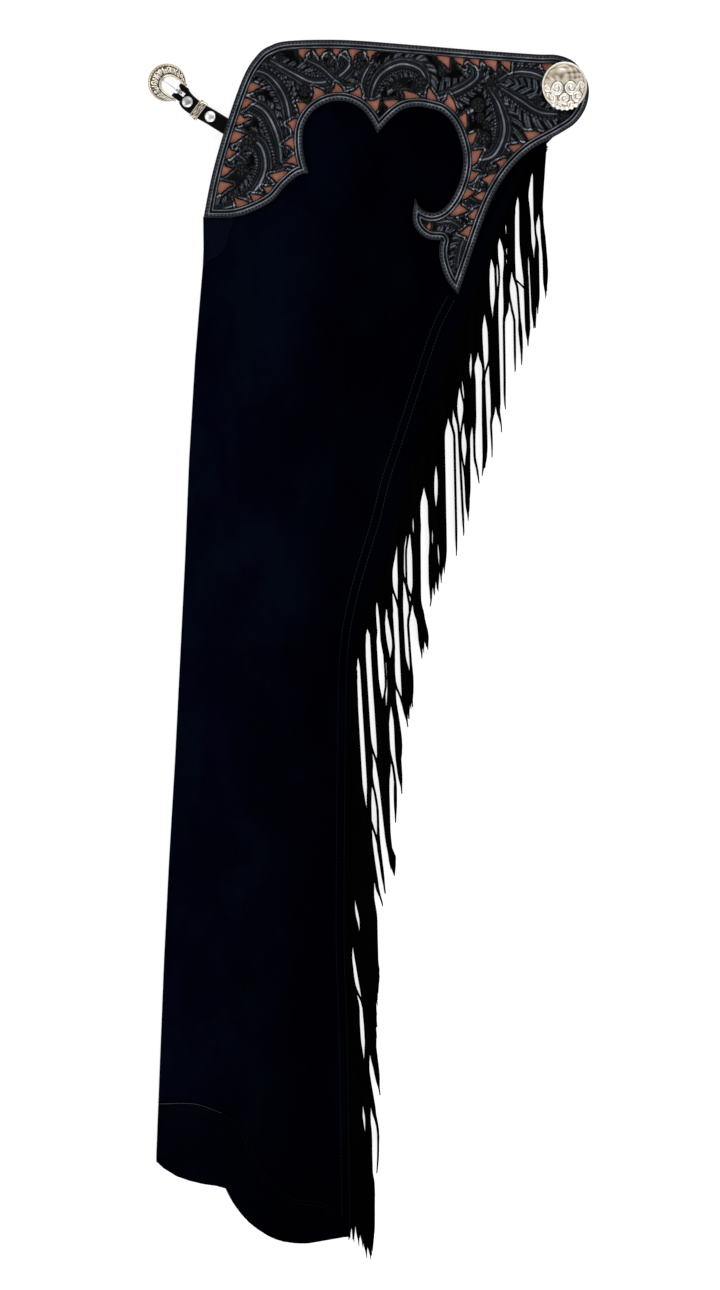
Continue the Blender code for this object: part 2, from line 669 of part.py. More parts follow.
def make_fringe(name, pitch, levels, lowest, strip_heights):
    """A narrow strip with strands that leave it on several levels and never meet."""
    roots = strand_roots(pitch)
    shifts = clump_shifts(roots, levels)
    points = []
    faces = []
    for i, root in enumerate(roots):
        level = levels - 1 - i % levels
        z = lowest + level * LEVEL_STEP
        base = len(points)
        sections = strand_sections(root, shifts[i], i)
        top = z + STRAND_THICKNESS
        for left, right in sections:
            points += [(*left, z), (*right, z), (*right, top), (*left, top)]
        faces.append((base, base + 1, base + 2, base + 3))
        last = base + 4 * (len(sections) - 1)
        faces.append((last + 3, last + 2, last + 1, last))
        for s in range(len(sections) - 1):
            for k in range(4):
                a = base + 4 * s + k
                b = base + 4 * s + (k + 1) % 4
                faces.append((a, a + 4, b + 4, b))
    mesh = mesh_from(name + "_strands", points, faces)
    weld(mesh)
    strands = add_cutter(name + "_strands", mesh)
    ring = np.vstack([beside_root(STRIP_HALF_WIDTH), beside_root(-STRIP_HALF_WIDTH)[::-1]])
    strip = plate(name, [ring], *strip_heights, SUEDE_BLACK)
    boolean(strip, strands, "UNION")


def make_concho():
    """A domed disc with a bead-like lower edge."""
    rings = []
    for share, rise in CONCHO_PROFILE:
        ring = []
        for k in range(CONCHO_SIDES):
            a = 2 * math.pi * k / CONCHO_SIDES
            low = max(0.0, -math.sin(a) - BEADS_BELOW) / (1.0 - BEADS_BELOW)
            bead = 1.0 + BEAD_SWELL * low * math.cos(a * BEADS_ROUND) * (share > 0.9)
            ring.append((CONCHO_CENTRE[0] + CONCHO_RADII[0] * share * bead * math.cos(a),
                         CONCHO_CENTRE[1] + CONCHO_RADII[1] * share * bead * math.sin(a),
                         CONCHO_BOTTOM + CONCHO_HEIGHT * rise))
        rings.append(ring)
    concho = loft("concho", rings, SILVER)
    concho.data.shade_smooth()


def strap_matrix():
    place = Matrix.Translation(Vector((*BUCKLE_BAR, BAR_HEIGHT)) * MM)
    heading = Matrix.Rotation(math.radians(STRAP_HEADING), 4, "Z")
    climb = Matrix.Rotation(math.radians(-STRAP_CLIMB), 4, "Y")
    return place @ heading @ climb


def frame_matrix():
    place = Matrix.Translation(Vector((*BUCKLE_BAR, BAR_HEIGHT)) * MM)
    heading = Matrix.Rotation(math.radians(STRAP_HEADING + 180), 4, "Z")
    droop = Matrix.Rotation(math.radians(RING_DROOP), 4, "Y")
    return place @ heading @ droop


def rod(name, radius, half_length, sides):
    """A round rod along local Y through the bar axis."""
    mesh = bpy.data.meshes.new(name)
    edit = bmesh.new()
    lie_along_y = Matrix.Rotation(math.radians(90), 4, "X")
    bmesh.ops.create_cone(edit, cap_ends=True, segments=sides, radius1=radius * MM,
                          radius2=radius * MM, depth=2 * half_length * MM, matrix=lie_along_y)
    edit.to_mesh(mesh)
    edit.free()
    return add_cutter(name, mesh)


def block(name, low, high):
    mesh = bpy.data.meshes.new(name)
    edit = bmesh.new()
    size = [(b - a) * MM for a, b in zip(low, high)]
    middle = [(b + a) / 2 * MM for a, b in zip(low, high)]
    stretch = Matrix.Translation(middle) @ Matrix.Diagonal((*size, 1.0))
    bmesh.ops.create_cube(edit, size=1.0, matrix=stretch)
    edit.to_mesh(mesh)
    edit.free()
    return add_cutter(name, mesh)


def place_all(objects, matrix):
    for made in objects:
        made.matrix_world = matrix


def make_strap():
    """The strap, looped round the buckle's bar, with a slot for the tongue."""
    centre = smooth([(s, t) for s, t, _ in STRAP_CENTRE], 3)
    half = [np.interp(s, [r[0] for r in STRAP_CENTRE], [r[2] for r in STRAP_CENTRE]) for s, _ in centre]
    up = [(s, t + h) for (s, t), h in zip(centre, half)]
    down = [(s, t - h) for (s, t), h in zip(centre, half)]
    face = STRAP_THICKNESS / 2
    strap = plate("buckle_strap", [up + down[::-1]], -face, face, TOOLED_BLACK)
    loop = rod("strap_loop", STRAP_LOOP_RADIUS, STRAP_CENTRE[0][2] - 0.02, 20)
    hole = rod("bar_hole", BAR_RADIUS + PIVOT_CLEARANCE, THROUGH, 16)
    side = TONGUE_SLOT_WIDTH / 2
    slot = block("tongue_slot", (-THROUGH, -side, -THROUGH), (TONGUE_SLOT_END, side, THROUGH))
    boolean(strap, loop, "UNION")
    boolean(strap, hole, "DIFFERENCE")
    boolean(strap, slot, "DIFFERENCE")
    place_all([strap, loop, hole, slot], strap_matrix())


def make_snaps():
    """Domed screw heads, turned."""
    side_view = [(SNAP_RADIUS * r * MM, 0.0, SNAP_HEIGHT * z * MM) for r, z in SNAP_PROFILE]
    edges = [(i, i + 1) for i in range(len(side_view) - 1)]
    for name, (s, t) in SNAP_PLACES.items():
        mesh = bpy.data.meshes.new(name)
        mesh.from_pydata(side_view, edges, [])
        snap = add_object(name, mesh, STEEL)
        spin = snap.modifiers.new("turn", "SCREW")
        spin.steps = SNAP_SIDES
        spin.render_steps = SNAP_SIDES
        spin.use_merge_vertices = True
        spin.merge_threshold = 0.00001
        spin.use_smooth_shade = True
        seat = Matrix.Translation(Vector((s, t, STRAP_THICKNESS / 2 + GAP)) * MM)
        snap.matrix_world = strap_matrix() @ seat


def make_keeper():
    """A flat metal loop round the strap."""
    tall = STRAP_THICKNESS / 2 + GAP
    wide = KEEPER_WIDTH / 2
    inner = [(-wide + KEEPER_WALL, -tall), (wide - KEEPER_WALL, -tall), (wide - KEEPER_WALL, tall),
             (-wide + KEEPER_WALL, tall)]
    outer = []
    for k in range(24):
        a = 2 * math.pi * k / 24
        across = math.cos(a)
        up = math.sin(a)
        outer.append((wide * math.copysign(abs(across) ** KEEPER_SQUARENESS, across),
                      (tall + KEEPER_WALL) * math.copysign(abs(up) ** KEEPER_SQUARENESS, up)))
    keeper = plate("keeper", [outer, inner], -KEEPER_LENGTH / 2, KEEPER_LENGTH / 2, SILVER)
    stand = Matrix(((0, 0, 1, 0), (1, 0, 0, 0), (0, 1, 0, 0), (0, 0, 0, 1)))
    seat = Matrix.Translation(Vector((KEEPER_PLACE[0], KEEPER_PLACE[1], 0.0)) * MM)
    keeper.matrix_world = strap_matrix() @ seat @ stand


def ring_edges():
    """Inner and outer edge points of the buckle's horseshoe, from one cheek to the other."""
    half_chord = math.sqrt(RING_RADIUS ** 2 - RING_CENTRE ** 2)
    start = math.atan2(half_chord, -RING_CENTRE)
    outer = [(CHEEK_END, half_chord - 0.5)]
    for k in range(17):
        a = start * (1 - 2 * k / 16)
        outer.append((RING_CENTRE + RING_RADIUS * math.cos(a), RING_RADIUS * math.sin(a)))
    outer.append((CHEEK_END, -half_chord + 0.5))
    inner = [(CHEEK_END, CHEEK_INNER), (0.0, CHEEK_INNER), (5.0, OPENING_RADIUS + 0.2)]
    for k in range(13):
        a = math.pi / 2 - math.pi * k / 12
        inner.append((OPENING_CENTRE + OPENING_RADIUS * math.cos(a), OPENING_RADIUS * math.sin(a)))
    inner += [(5.0, -OPENING_RADIUS - 0.2), (0.0, -CHEEK_INNER), (CHEEK_END, -CHEEK_INNER)]
    return inner, outer


def make_buckle():
    """Horseshoe frame with its bar, and the tongue that lies across it."""
    inner, outer = ring_edges()
    rings = []
    for (inner_x, inner_y), (outer_x, outer_y) in zip(inner, outer):
        ring = []
        for share, z in RING_SECTION:
            x = inner_x + (outer_x - inner_x) * share
            y = inner_y + (outer_y - inner_y) * share
            ring.append((x, y, z if inner_x > 1.0 else min(z, CHEEK_TOP)))
        rings.append(ring)
    frame = loft("buckle_frame", rings, SILVER)
    bar = rod("buckle_bar", BAR_RADIUS, CHEEK_INNER + 0.8, 12)
    boolean(frame, bar, "UNION")
    place_all([frame, bar], frame_matrix())

    rings = []
    for x, under, half, top in TONGUE_BLADE:
        rings.append([(x, -half, under), (x, half, under), (x, half, top), (x, -half, top)])
    tongue = loft("buckle_tongue", rings, STEEL)
    eye_radius = BAR_RADIUS + PIVOT_CLEARANCE + TONGUE_EYE_WALL
    eye = rod("tongue_eye", eye_radius, TONGUE_EYE_HALF_WIDTH, 16)
    hole = rod("tongue_hole", BAR_RADIUS + PIVOT_CLEARANCE, THROUGH, 16)
    boolean(tongue, eye, "UNION")
    boolean(tongue, hole, "DIFFERENCE")
    place_all([tongue, eye, hole], frame_matrix())


make_hidden_leg()
make_leg()
make_leg_trim()
make_yoke()
make_fringe("hidden_fringe", HIDDEN_STRAND_PITCH, HIDDEN_FRINGE_LEVELS, LOWEST_STRAND, HIDDEN_STRIP)
make_fringe("fringe", STRAND_PITCH, FRINGE_LEVELS,
            LOWEST_STRAND + HIDDEN_FRINGE_LEVELS * LEVEL_STEP, STRIP)
make_concho()
make_strap()
make_snaps()
make_keeper()
make_buckle()
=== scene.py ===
import math
import random

import bmesh
import bpy
import numpy as np
from mathutils import Matrix, Vector


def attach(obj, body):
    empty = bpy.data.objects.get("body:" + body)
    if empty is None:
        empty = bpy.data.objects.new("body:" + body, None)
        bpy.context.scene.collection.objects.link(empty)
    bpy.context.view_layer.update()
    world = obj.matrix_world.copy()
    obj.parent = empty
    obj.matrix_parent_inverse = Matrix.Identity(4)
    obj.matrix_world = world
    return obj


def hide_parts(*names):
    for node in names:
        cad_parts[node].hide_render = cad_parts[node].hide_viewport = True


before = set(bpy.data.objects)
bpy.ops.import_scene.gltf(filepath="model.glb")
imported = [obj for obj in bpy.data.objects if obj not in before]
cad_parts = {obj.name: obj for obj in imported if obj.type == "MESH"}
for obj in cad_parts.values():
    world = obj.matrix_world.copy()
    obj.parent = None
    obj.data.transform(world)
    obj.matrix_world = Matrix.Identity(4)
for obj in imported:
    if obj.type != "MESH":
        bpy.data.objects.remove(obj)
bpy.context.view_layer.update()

MM = 0.001
TURN = 2 * math.pi

# The photograph: size and the part's origin in pixels, and a pixel's size in millimetres
PHOTO_SIZE = (720, 1290)
PHOTO_CENTRE = (368.0, 651.0)
PIXEL = 0.82

# Heights of the layers in millimetres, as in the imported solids
SUEDE = 1.5
FAR_MIDDLE = 7.45
NEAR_MIDDLE = 9.55
TRIM_BOTTOM = 10.6
TRIM_THICKNESS = 1.2
INLAY_TOP = 12.0
OVERLAY_BOTTOM = 12.3
FIELD_HEIGHT = 14.1

# Outline of the yoke, clockwise from its front corner
YOKE_FRONT_TO_SPEAR = [
    (-134.9, 355.1), (-127.9, 390.3), (-117.3, 428), (-102.5, 469.9), (-91, 488.3),
    (-80.4, 496.1), (-64, 500.2), (-20.5, 500.9), (32, 497.2), (84.3, 492.9),
    (136.5, 489.2), (155, 488.5), (168.1, 483.4), (177.1, 472.6), (181.1, 460.8),
    (178.9, 446.5), (170.6, 433.4), (157.4, 424.3), (134, 411.1), (118.1, 396.1),
    (105.8, 378), (95.1, 354.2), (82.8, 318.3), (73.8, 291.9),
]
YOKE_STRETCHES = {
    "outer": YOKE_FRONT_TO_SPEAR,
    "spear": [(73.8, 291.9), (64.4, 304.2), (59.4, 318.2), (58.2, 328.8), (59.5, 336.6)],
    "spur": [(59.5, 336.6), (49.2, 337.8), (41, 343.6), (36.5, 353.8), (38.5, 371.9)],
    "back_arch": [
        (38.5, 371.9), (43.5, 362.8), (52.5, 359.2), (62.3, 363.3), (71.3, 375.6), (77.1, 392.8),
        (77.5, 409.2), (71.3, 428.9), (61.5, 440.6), (51.1, 444.6), (39.6, 446.3), (28.7, 444),
        (18.9, 436.6), (7.6, 424.2),
    ],
    "front_arch": [
        (7.6, 424.2), (2.5, 434.2), (-4.9, 443.6), (-14.8, 449.4), (-25.4, 451),
        (-36.1, 448.3), (-45.5, 441.7), (-52, 430.9), (-53.6, 419), (-52.1, 405.1),
        (-48.4, 391.7),
    ],
    "foot": [
        (-48.4, 391.7), (-56.9, 389.9), (-67.2, 381.3), (-77.9, 369.4), (-93.5, 360.8),
        (-110.7, 355.6), (-134.9, 355.1),
    ],
}
BORDER_WIDTH = 7.4
STITCH_PITCH = 3.0
# Field of the tooling: its ends across and along, and the size of its cells
YOKE_ACROSS = (-184.0, 184.6)
YOKE_ALONG = (288.0, 503.0)
YOKE_CELL = 0.62

# Cut-through gaps: stretch, start and end along it, count, length, depth, and lean of the tip
GAP_ROWS = [
    ("outer", 0.030, 0.190, 7, 9, 8, 0.9),
    ("outer", 0.275, 0.385, 5, 9.5, 6.8, -0.5),
    ("outer", 0.455, 0.555, 5, 9.5, 6.8, 0.9),
    ("outer", 0.590, 0.645, 3, 8.6, 6.4, -0.4),
    ("outer", 0.765, 0.930, 7, 9, 6.6, 0.9),
    ("spur", 0.20, 0.42, 1, 6.5, 5.5, 0.9),
    ("back_arch", 0.16, 0.90, 10, 8.4, 7, 0.9),
    ("front_arch", 0.12, 0.95, 8, 8.6, 7.2, -0.3),
    ("foot", 0.12, 0.72, 4, 9.5, 6.5, 0.9),
]
# How much larger the gaps are cut: along the border and across it
GAP_GROWTH = (1.11, 1.17)
# Rosettes where the scrolls curl in: centre x and y, radius
ROSETTES = [
    (-8.4, 481.7, 6), (42.4, 466, 6), (-52, 459.5, 5), (-97, 420, 6.5),
    (-74, 397, 4), (101.7, 466.9, 4.5), (94.5, 420, 6), (86, 370.5, 4.6),
    (24, 463, 4.5), (-103.6, 394, 5.5), (61.5, 475.5, 4.5), (139, 452, 4),
    (90.3, 447.5, 5.5), (97.5, 431, 4), (161, 438.5, 5), (-72, 486.5, 3.6),
    (92, 437, 3.6), (-110, 371, 3.4),
]

# Scrolls of the tooling: spine from root to curled tip, then half width of the ruffled side
# (positive on the left of the way it grows, negative on the right) and of the lined side
SCROLLS = [
    ([(-126, 361), (-108, 366), (-92, 378), (-84, 396), (-88, 414), (-101, 420), (-108, 410),
      (-101, 402)], 9, 7.5),
    ([(-74, 380), (-71, 400), (-74, 422), (-84, 442), (-99, 449), (-106, 440), (-99, 433)], 9.5, 6),
    ([(-68, 390), (-63, 412), (-64, 434), (-69, 456), (-82, 472), (-98, 477)], -7.5, 6.5),
    ([(-70, 396), (-60, 410), (-58, 426), (-57, 440)], -5.5, 4),
    ([(-80, 484), (-62, 474), (-44, 466), (-26, 470), (-15, 481), (-24, 489), (-31, 482)], 6.5, 8),
    ([(-6, 461), (-24, 466), (-38, 478), (-54, 486)], 5, 4),
    ([(-3, 458), (-16, 462), (-30, 459)], 4, 4),
    ([(4, 440), (3, 456), (10, 472), (26, 481), (42, 477), (47, 466), (38, 462)], -7, 6.5),
    ([(3, 444), (-5, 456), (-4, 470), (4, 484)], 5, 4),
    ([(38, 453), (56, 453), (76, 460), (90, 471), (85, 483), (75, 479)], -6.5, 6.5),
    ([(104, 466), (118, 474), (134, 474), (148, 468)], 6, 5),
    ([(99, 462), (108, 446), (112, 426), (104, 407), (91, 403), (88, 414), (95, 417)], -9.5, 7),
    ([(108, 462), (124, 452), (140, 442), (156, 440)], -6.5, 5.5),
    ([(97, 400), (88, 384), (85, 366), (90, 350), (86, 338)], -6, 5),
    ([(93, 393), (84, 398), (80, 386)], 4, 3.5),
    ([(83, 347), (76, 330), (73, 310)], -4.5, 3.5),
    ([(80, 344), (68, 352), (56, 351)], 4.5, 3.5),
]
# Share of a scroll's half width, by the share of its length
SCROLL_SWELL = [(0, 0.30), (0.10, 0.60), (0.40, 1), (0.75, 0.95), (0.93, 0.70), (1, 0.40)]
LOBE_PITCH = 3.2
FINGER_PITCH = 7.0
FINGER_REACH = 14.0

# The leg's left fold and seam, and the near layer's edges above them, as height and place
LEFT_FOLD = [
    (346.9, -135.3), (327.2, -134.5), (279.6, -138.6), (238.6, -141.9), (156.6, -146.8),
    (74.6, -150.1), (-7.4, -154.2), (-89.4, -158.3), (-171.4, -163.2), (-253.4, -167.3),
    (-335.4, -170.6), (-417.4, -173.8),
]
NEAR_FRONT_EDGE = [
    (486.3, -70.5), (472.3, -83.6), (451.8, -95.1), (427.2, -104.1), (402.6, -112.3),
    (378, -119.7), (357.5, -128.7), (346.9, -135.3),
]
SEAM = [
    (289.5, 68.1), (266.5, 56.6), (238.6, 46.7), (198.4, 33.6), (168.9, 23.8), (138.6, 13.9),
    (108.2, 6.6), (78.7, -2.5), (53.3, -9.8), (32.8, -14.8), (8.2, -18.9), (-40.2, -21.3),
    (-228.8, -23), (-310.8, -21.5), (-478.9, -18),
]
NEAR_BACK_EDGE = [
    (486.3, 104), (460, 104), (435.4, 101), (402.6, 95), (369.8, 88.6),
    (328.8, 79.5), (289.5, 72.1),
]
# Hems, as place and height
NEAR_HEM = [
    (-173.8, -417.4), (-168.1, -414.9), (-151.7, -408.4), (-139.4, -411.6), (-129.6, -419),
    (-121.4, -432), (-110.7, -452.8), (-97.6, -468.8), (-82, -479.8), (-68.9, -484.6),
    (-50, -486), (-18, -480.4),
]
FAR_HEM = [
    (-173.8, -418.4), (-168.1, -424), (-155, -432), (-139.4, -436.6), (-118.1, -439.6),
    (-64, -463.5), (-18, -480),
]
LEG_TOP = 486.0
CROTCH = 319.0
HEM_START = -368.0
FRONT_CORNER = 346.9
NEAR_TO_SEAM = 1.8
FAR_TO_SEAM = -8.0
# Soft ridges: centre x and y, length, width, direction in degrees, height
LEG_FOLDS = [
    (-131, -245, 80, 15, 72, 1),
    (-78, -168, 95, 16, 6, 0.9),
    (-60, 60, 190, 34, 82, 0.8),
    (-95, 205, 120, 30, 60, 0.7),
    (-70, -320, 110, 24, 20, 0.7),
    (-20, 250, 130, 26, 74, 0.5),
    (-110, -90, 120, 22, 96, 0.5),
    (-40, -380, 60, 12, 12, 0.5),
]
BAND_TOP = [
    (-171.4, -371.5), (-142.7, -371.5), (-123, -378), (-107.4, -384.6), (-97.6, -396.9),
    (-91, -413.3), (-82, -428.9), (-68.9, -442), (-59, -447.7), (-36.9, -451),
    (-24.6, -460.8), (-18.6, -467.4),
]
CUT_EDGE_END = -118.0
HEM_BAND_ENDS = (-172.9, -18.6)
FACING_OUTER = [(-135.2, 355.9), (-134.9, 330), (-135.6, 312.4)]
FACING_INNER = [(-109.6, 356.2), (-114, 341.1), (-119.7, 327.2), (-131.5, 319), (-135.2, 313)]

# The fringe: its root line, and the strips that its strands leave
FRINGE_ROOT = [
    (146.8, 414.1), (132.8, 398.5), (118.1, 371.5), (104.1, 337), (93.5, 312.4),
    (83.6, 286.2), (71.3, 255), (56.6, 209.9), (42.6, 173), (28.7, 123.8), (13.9, 74.6),
    (0, 33.6), (-12.3, -7.4), (-15.6, -56.6), (-16.8, -122.2), (-17.2, -228),
    (-17.2, -346),
]
STRIP_HALF_WIDTH = 1.2
STRIP_HEIGHTS = (3.1, 9)
HIDDEN_STRIP_HEIGHTS = (0.3, 2.8)
FLAP_END_Y = -470.0
FLAP_TO_SEAM = -3.0
HIDDEN_HEM = [
    (-18, -470), (-20, -480), (-50, -486), (-68.9, -484.6), (-82, -479.8),
    (-97.6, -468.8), (-110.7, -452.8), (-118.1, -441.6), (-139.4, -436.6), (-155, -432),
    (-168.1, -424),
]
# Edge of the leg underneath: height, and how far it is set in
HIDDEN_EDGE = [
    (0, 2.9), (0.25, 2.3), (0.8, 2), (1.7, 1.85), (2.5, 2.1), (2.9, 2.9), (3.1, 3.3),
    (3.3, 2.9), (3.8, 2.1), (4.7, 1.85), (5.7, 2), (6.2, 2.4), (6.4, 2.9),
]
# Lean of a strand in degrees, by height
STRAND_LEAN = [
    (-500, 5.5), (-400, 7.2), (-300, 8.2), (-230, 8.4), (-180, 8.2), (-130, 7),
    (-100, 5.4), (20, 4), (60, 2.2), (100, 0.6), (414, 0.5),
]
# Length of a strand, by the height of its root
STRAND_LENGTH = [
    (-346, 160), (-330, 172), (-310, 184), (-220, 188), (-88, 190),
    (-20, 205), (38, 208), (58, 194), (105, 180), (190, 180), (241, 163),
    (309, 163), (388, 148), (414, 124),
]
STRAND_WIDTH = 4.4
STRAND_PITCH = 4.8
FRINGE_FOOT = -499.0
PLUMB_FOOT = -486.0
TIP_TAPER = 16.0
ROOT_FLARE = 0.8
PLUMB_BELOW = -285.0
# Share of their lean that plumb strands keep, by the height of their root
LEAN_KEPT = [(-343, 0), (-332, 0.20), (-322, 0.50), (-312, 0.75), (-303, 0.97), (-290, 1)]

CONCHO_CENTRE = (161.1, 463.3)
CONCHO_RADII = (18.4, 19.6)
CONCHO_BOTTOM = 15.6

BUCKLE_BAR = (-154.8, 458.8)
STRAP_HEADING = -36.4
STRAP_CLIMB = 5.7
BAR_HEIGHT = 3.6
# The strap's middle: place along it, place across, and half width
STRAP_CENTRE = [
    (0, 0, 6.6), (4, -0.4, 6.7), (10.6, -2.6, 7), (20.8, -2.9, 6.7), (33, -1.5, 6.6), (51.8, 0, 6.6),
]
# Snaps: place along and across the strap, tone in the middle, its change at the rim, towards an angle.
# These tones are painted light: a grey middle with a painted highlight at the rim for the front snap, a
# white middle with painted shade at the rim for the back one.
SNAPS = [("snap_front", 10.6, -2.8, 0.42, 0.55, -34), ("snap_back", 33, -1.5, 0.96, -0.45, 222)]
KEEPER_PLACE = (21.8, -2.8)
# The buckle's ring: slope in degrees, and centres and radii of its edges
RING_DROOP = 4.0
RING_CENTRE = 12.7
RING_RADIUS = 15.6
OPENING_CENTRE = 9.6
OPENING_RADIUS = 7.0
CHEEK_INNER = 7.3
RING_CURL_PITCH = 4.9

# Middle of the seam's two rows of stitches, in pixels of the photograph
SEAM_STITCHES = [
    (451, 298), (437, 326), (425, 360), (409, 409), (397, 445), (385, 482), (376, 519), (365, 555),
    (356, 586), (350, 611), (345, 641), (342, 700), (340, 930), (343, 1030), (346, 1235),
]

# Line that the tips reach, and the free edge above it, as height and place in pixels of the photograph
FRINGE_TIPS = [
    (293, 550), (320, 541), (348, 529), (362, 525), (380, 514), (398, 509), (433, 502), (453, 494),
    (470, 488), (483, 481), (497, 473), (520, 471), (548, 460), (574, 447), (592, 440), (612, 430),
    (650, 428), (666, 419), (706, 414), (738, 407), (790, 404), (820, 398), (868, 393), (880, 389),
    (897, 386), (912, 381), (980, 380), (1050, 378), (1100, 382), (1160, 381), (1190, 379), (1290, 379),
]
FRINGE_SIDE = [(144, 544), (156, 546), (204, 543), (240, 546), (262, 548), (292, 549.5)]
# Slits in pixels: top x and y, bottom x and y, width, and 1 where they stay open below
FRINGE_SLITS = [
    (530, 185, 530, 206, 3, 0), (533, 217, 534, 252, 4, 0), (539, 214, 539.5, 240, 2.8, 0),
    (540.5, 243, 542, 318, 2.8, 1), (517, 195, 517.5, 316, 3.8, 0), (521.5, 268, 524, 345, 2.6, 1),
    (504, 226, 506, 265, 3.2, 0), (499, 228, 500.5, 300, 5, 0), (500.5, 290, 503.5, 396, 5, 1),
    (495.5, 264, 495.5, 290, 2, 0), (490.5, 255, 492.5, 312, 3.2, 0), (511.5, 278, 516.5, 350, 5, 1),
    (509, 310, 510, 376, 5, 1), (484.5, 318, 487, 386, 4.8, 0), (487, 378, 490, 440, 4.6, 1),
    (495.5, 414, 497, 445, 4.5, 1), (472.5, 429, 474, 480, 6, 1), (471, 356, 471, 377, 3.2, 0),
    (478, 356, 480, 468, 4.8, 0), (462, 382, 463, 409, 2.8, 0), (459, 395, 463.5, 528, 4.5, 1),
    (453, 415, 459, 535, 4.2, 1), (448, 424, 450.5, 548, 6.5, 1), (464, 431, 465, 458, 2.4, 0),
    (436, 469, 436, 503, 3, 0), (432, 531, 432, 544, 2.8, 0), (438, 549, 439, 559, 2.8, 0),
    (424, 492, 425, 612, 7, 0), (413, 520, 413, 533, 2.8, 0), (407, 536, 405.5, 602, 4.6, 0),
    (406, 594, 410, 668, 7, 0), (410, 542, 411, 596, 3.2, 0), (413, 612, 417, 668, 6, 1),
    (395, 560, 395, 614, 4.8, 0), (395, 606, 399.5, 712, 4.8, 0), (399.5, 704, 405, 740, 4.4, 1),
    (387, 602, 387, 612, 2.6, 0), (386, 616, 390, 655, 4, 0), (384, 654, 386, 703, 3.4, 0),
    (391, 711, 393, 762, 4.2, 0), (393.5, 754, 398, 790, 2.4, 1), (391, 772, 391.5, 816, 2.8, 1),
    (376, 603, 381.5, 694, 4.2, 0), (366.5, 628, 375, 761, 4.6, 0), (357, 652, 365.5, 797, 3.8, 0),
    (374, 765, 387, 880, 5, 1), (373, 799, 374.5, 850, 3, 0), (374.3, 842, 381, 894, 2.8, 1),
    (374.5, 890, 380, 915, 4, 1), (355, 904, 359.5, 927, 2.8, 0), (352, 953, 360, 1004, 3.4, 0),
    (361, 1009, 363.5, 1052, 3.4, 0), (370, 1060, 378, 1112, 4, 1), (363, 1110, 365, 1127, 2.6, 0),
    (371, 1113, 374, 1133, 3, 1),
]
# Strands placed one by one: root's height, tip's place in pixels, half width in millimetres
PLACED_STRANDS = [
    (232, 546, 300, 2.6), (470, 428, 650, 3.4), (560, 396, 740, 2.6), (604, 388, 876, 4.4),
    (620, 370, 850, 2), (640, 376, 905, 2.2), (1040, 363, 1248, 2.2), (1052, 367, 1259, 2.2),
    (1062, 371, 1260, 2.4), (1066, 359, 1247, 2), (1070, 354, 1243, 2),
]

# C-scrolls of the concho on a disc of radius 1: centre, size, hand and where each starts
CURLS = [
    (-0.34, -0.08, 0.30, 1, 3.4), (0.30, -0.06, 0.32, -1, 6), (-0.55, -0.50, 0.25, 1, 2.4),
    (0.02, -0.52, 0.24, -1, 1.2), (0.58, -0.42, 0.26, -1, 0.7), (-0.76, -0.12, 0.17, 1, 1.4),
    (0.76, 0.02, 0.17, -1, 2.2), (-0.24, -0.76, 0.17, 1, 2), (0.30, -0.77, 0.17, -1, 1),
]
# The tongue: place along it, height, half width and half height
TONGUE_MIDDLE = [
    (1.9, 0.9, 0.9, 0.9), (4, 1.05, 0.9, 0.8), (9, 1.85, 0.85, 0.75), (15, 2.3, 0.82, 0.7),
    (17.6, 2.55, 0.75, 0.55), (19.2, 2.65, 0.5, 0.35),
]
# Snap heads: share of the radius and height above the seat
SNAP_PROFILE = [
    (0, 1.72), (0.35, 1.66), (0.62, 1.42), (0.74, 1.15), (0.80, 1.02), (0.86, 1.10), (0.93, 0.98),
    (0.985, 0.70), (1, 0.35), (1, 0),
]
SNAP_RADIUS = 4.5
SNAP_SEAT = 1.8

# Keeper: length, and half width, half height and roundness of its outside and its inside
KEEPER_LENGTH = 6.6
KEEPER_OUTER = (8.5, 2.9, 0.42)
KEEPER_INNER = (7.4, 1.8, 0.3)
# Strap's section: share of its half width, and height
STRAP_SECTION = [
    (-1, -0.9), (-0.96, -1.35), (-0.88, -1.5), (0.88, -1.5), (0.96, -1.35), (1, -0.9), (1, 0.9),
    (0.96, 1.32), (0.88, 1.5), (0.5, 1.5), (0, 1.5), (-0.5, 1.5), (-0.88, 1.5), (-0.96, 1.32), (-1, 0.9),
]
# The strap's end: its loops over the bar, and how far each goes across
LOOP_RADIUS = 3.3
PRONG_REACH = (1.62, 6.55)
PRONG_SLANT = 2.0
# The tongue's sleeve: sides, and radii of its hole and its outside
SLEEVE_SIDES = 28
SLEEVE_RADII = (1.62, 2.75)
CONCHO_BEADS = 6

# Stitches: length, thread's radius, share at which they bend, and heights of their middle and ends
YOKE_STITCH = (2.3, 0.36, 0.25, 0.10, -0.30)
SEAM_STITCH = (2.1, 0.32, 0.28, 0.18, -0.12)
HEM_STITCH = (2.1, 0.30, 0.28, 0.18, -0.12)
ROW_PITCH = 2.9
# How far the stitches and the inlay lie inside an edge, and the seam's rows from its middle
STITCH_INSET = 1.95
INLAY_INSET = 1.6
HEM_STITCH_INSETS = (2.0, 5.0)
SEAM_HALF_WIDTH = 3.2
# The zip's flap: inner edge at its top, height and thickness
FLAP_TOP = [(142.5, 419.5), (135, 409), (118, 389), (98, 352), (79, 318)]
FLAP_BOTTOM = 7.05
FLAP_THICKNESS = 1.4
# Strands: steps of a path, half thickness, height between levels, and a slit's reach from the root
STRAND_STEPS = 60
STRAND_HALF_THICKNESS = 0.45
LEVEL_STEP = 1.3
SLIT_AT_ROOT = 26.0


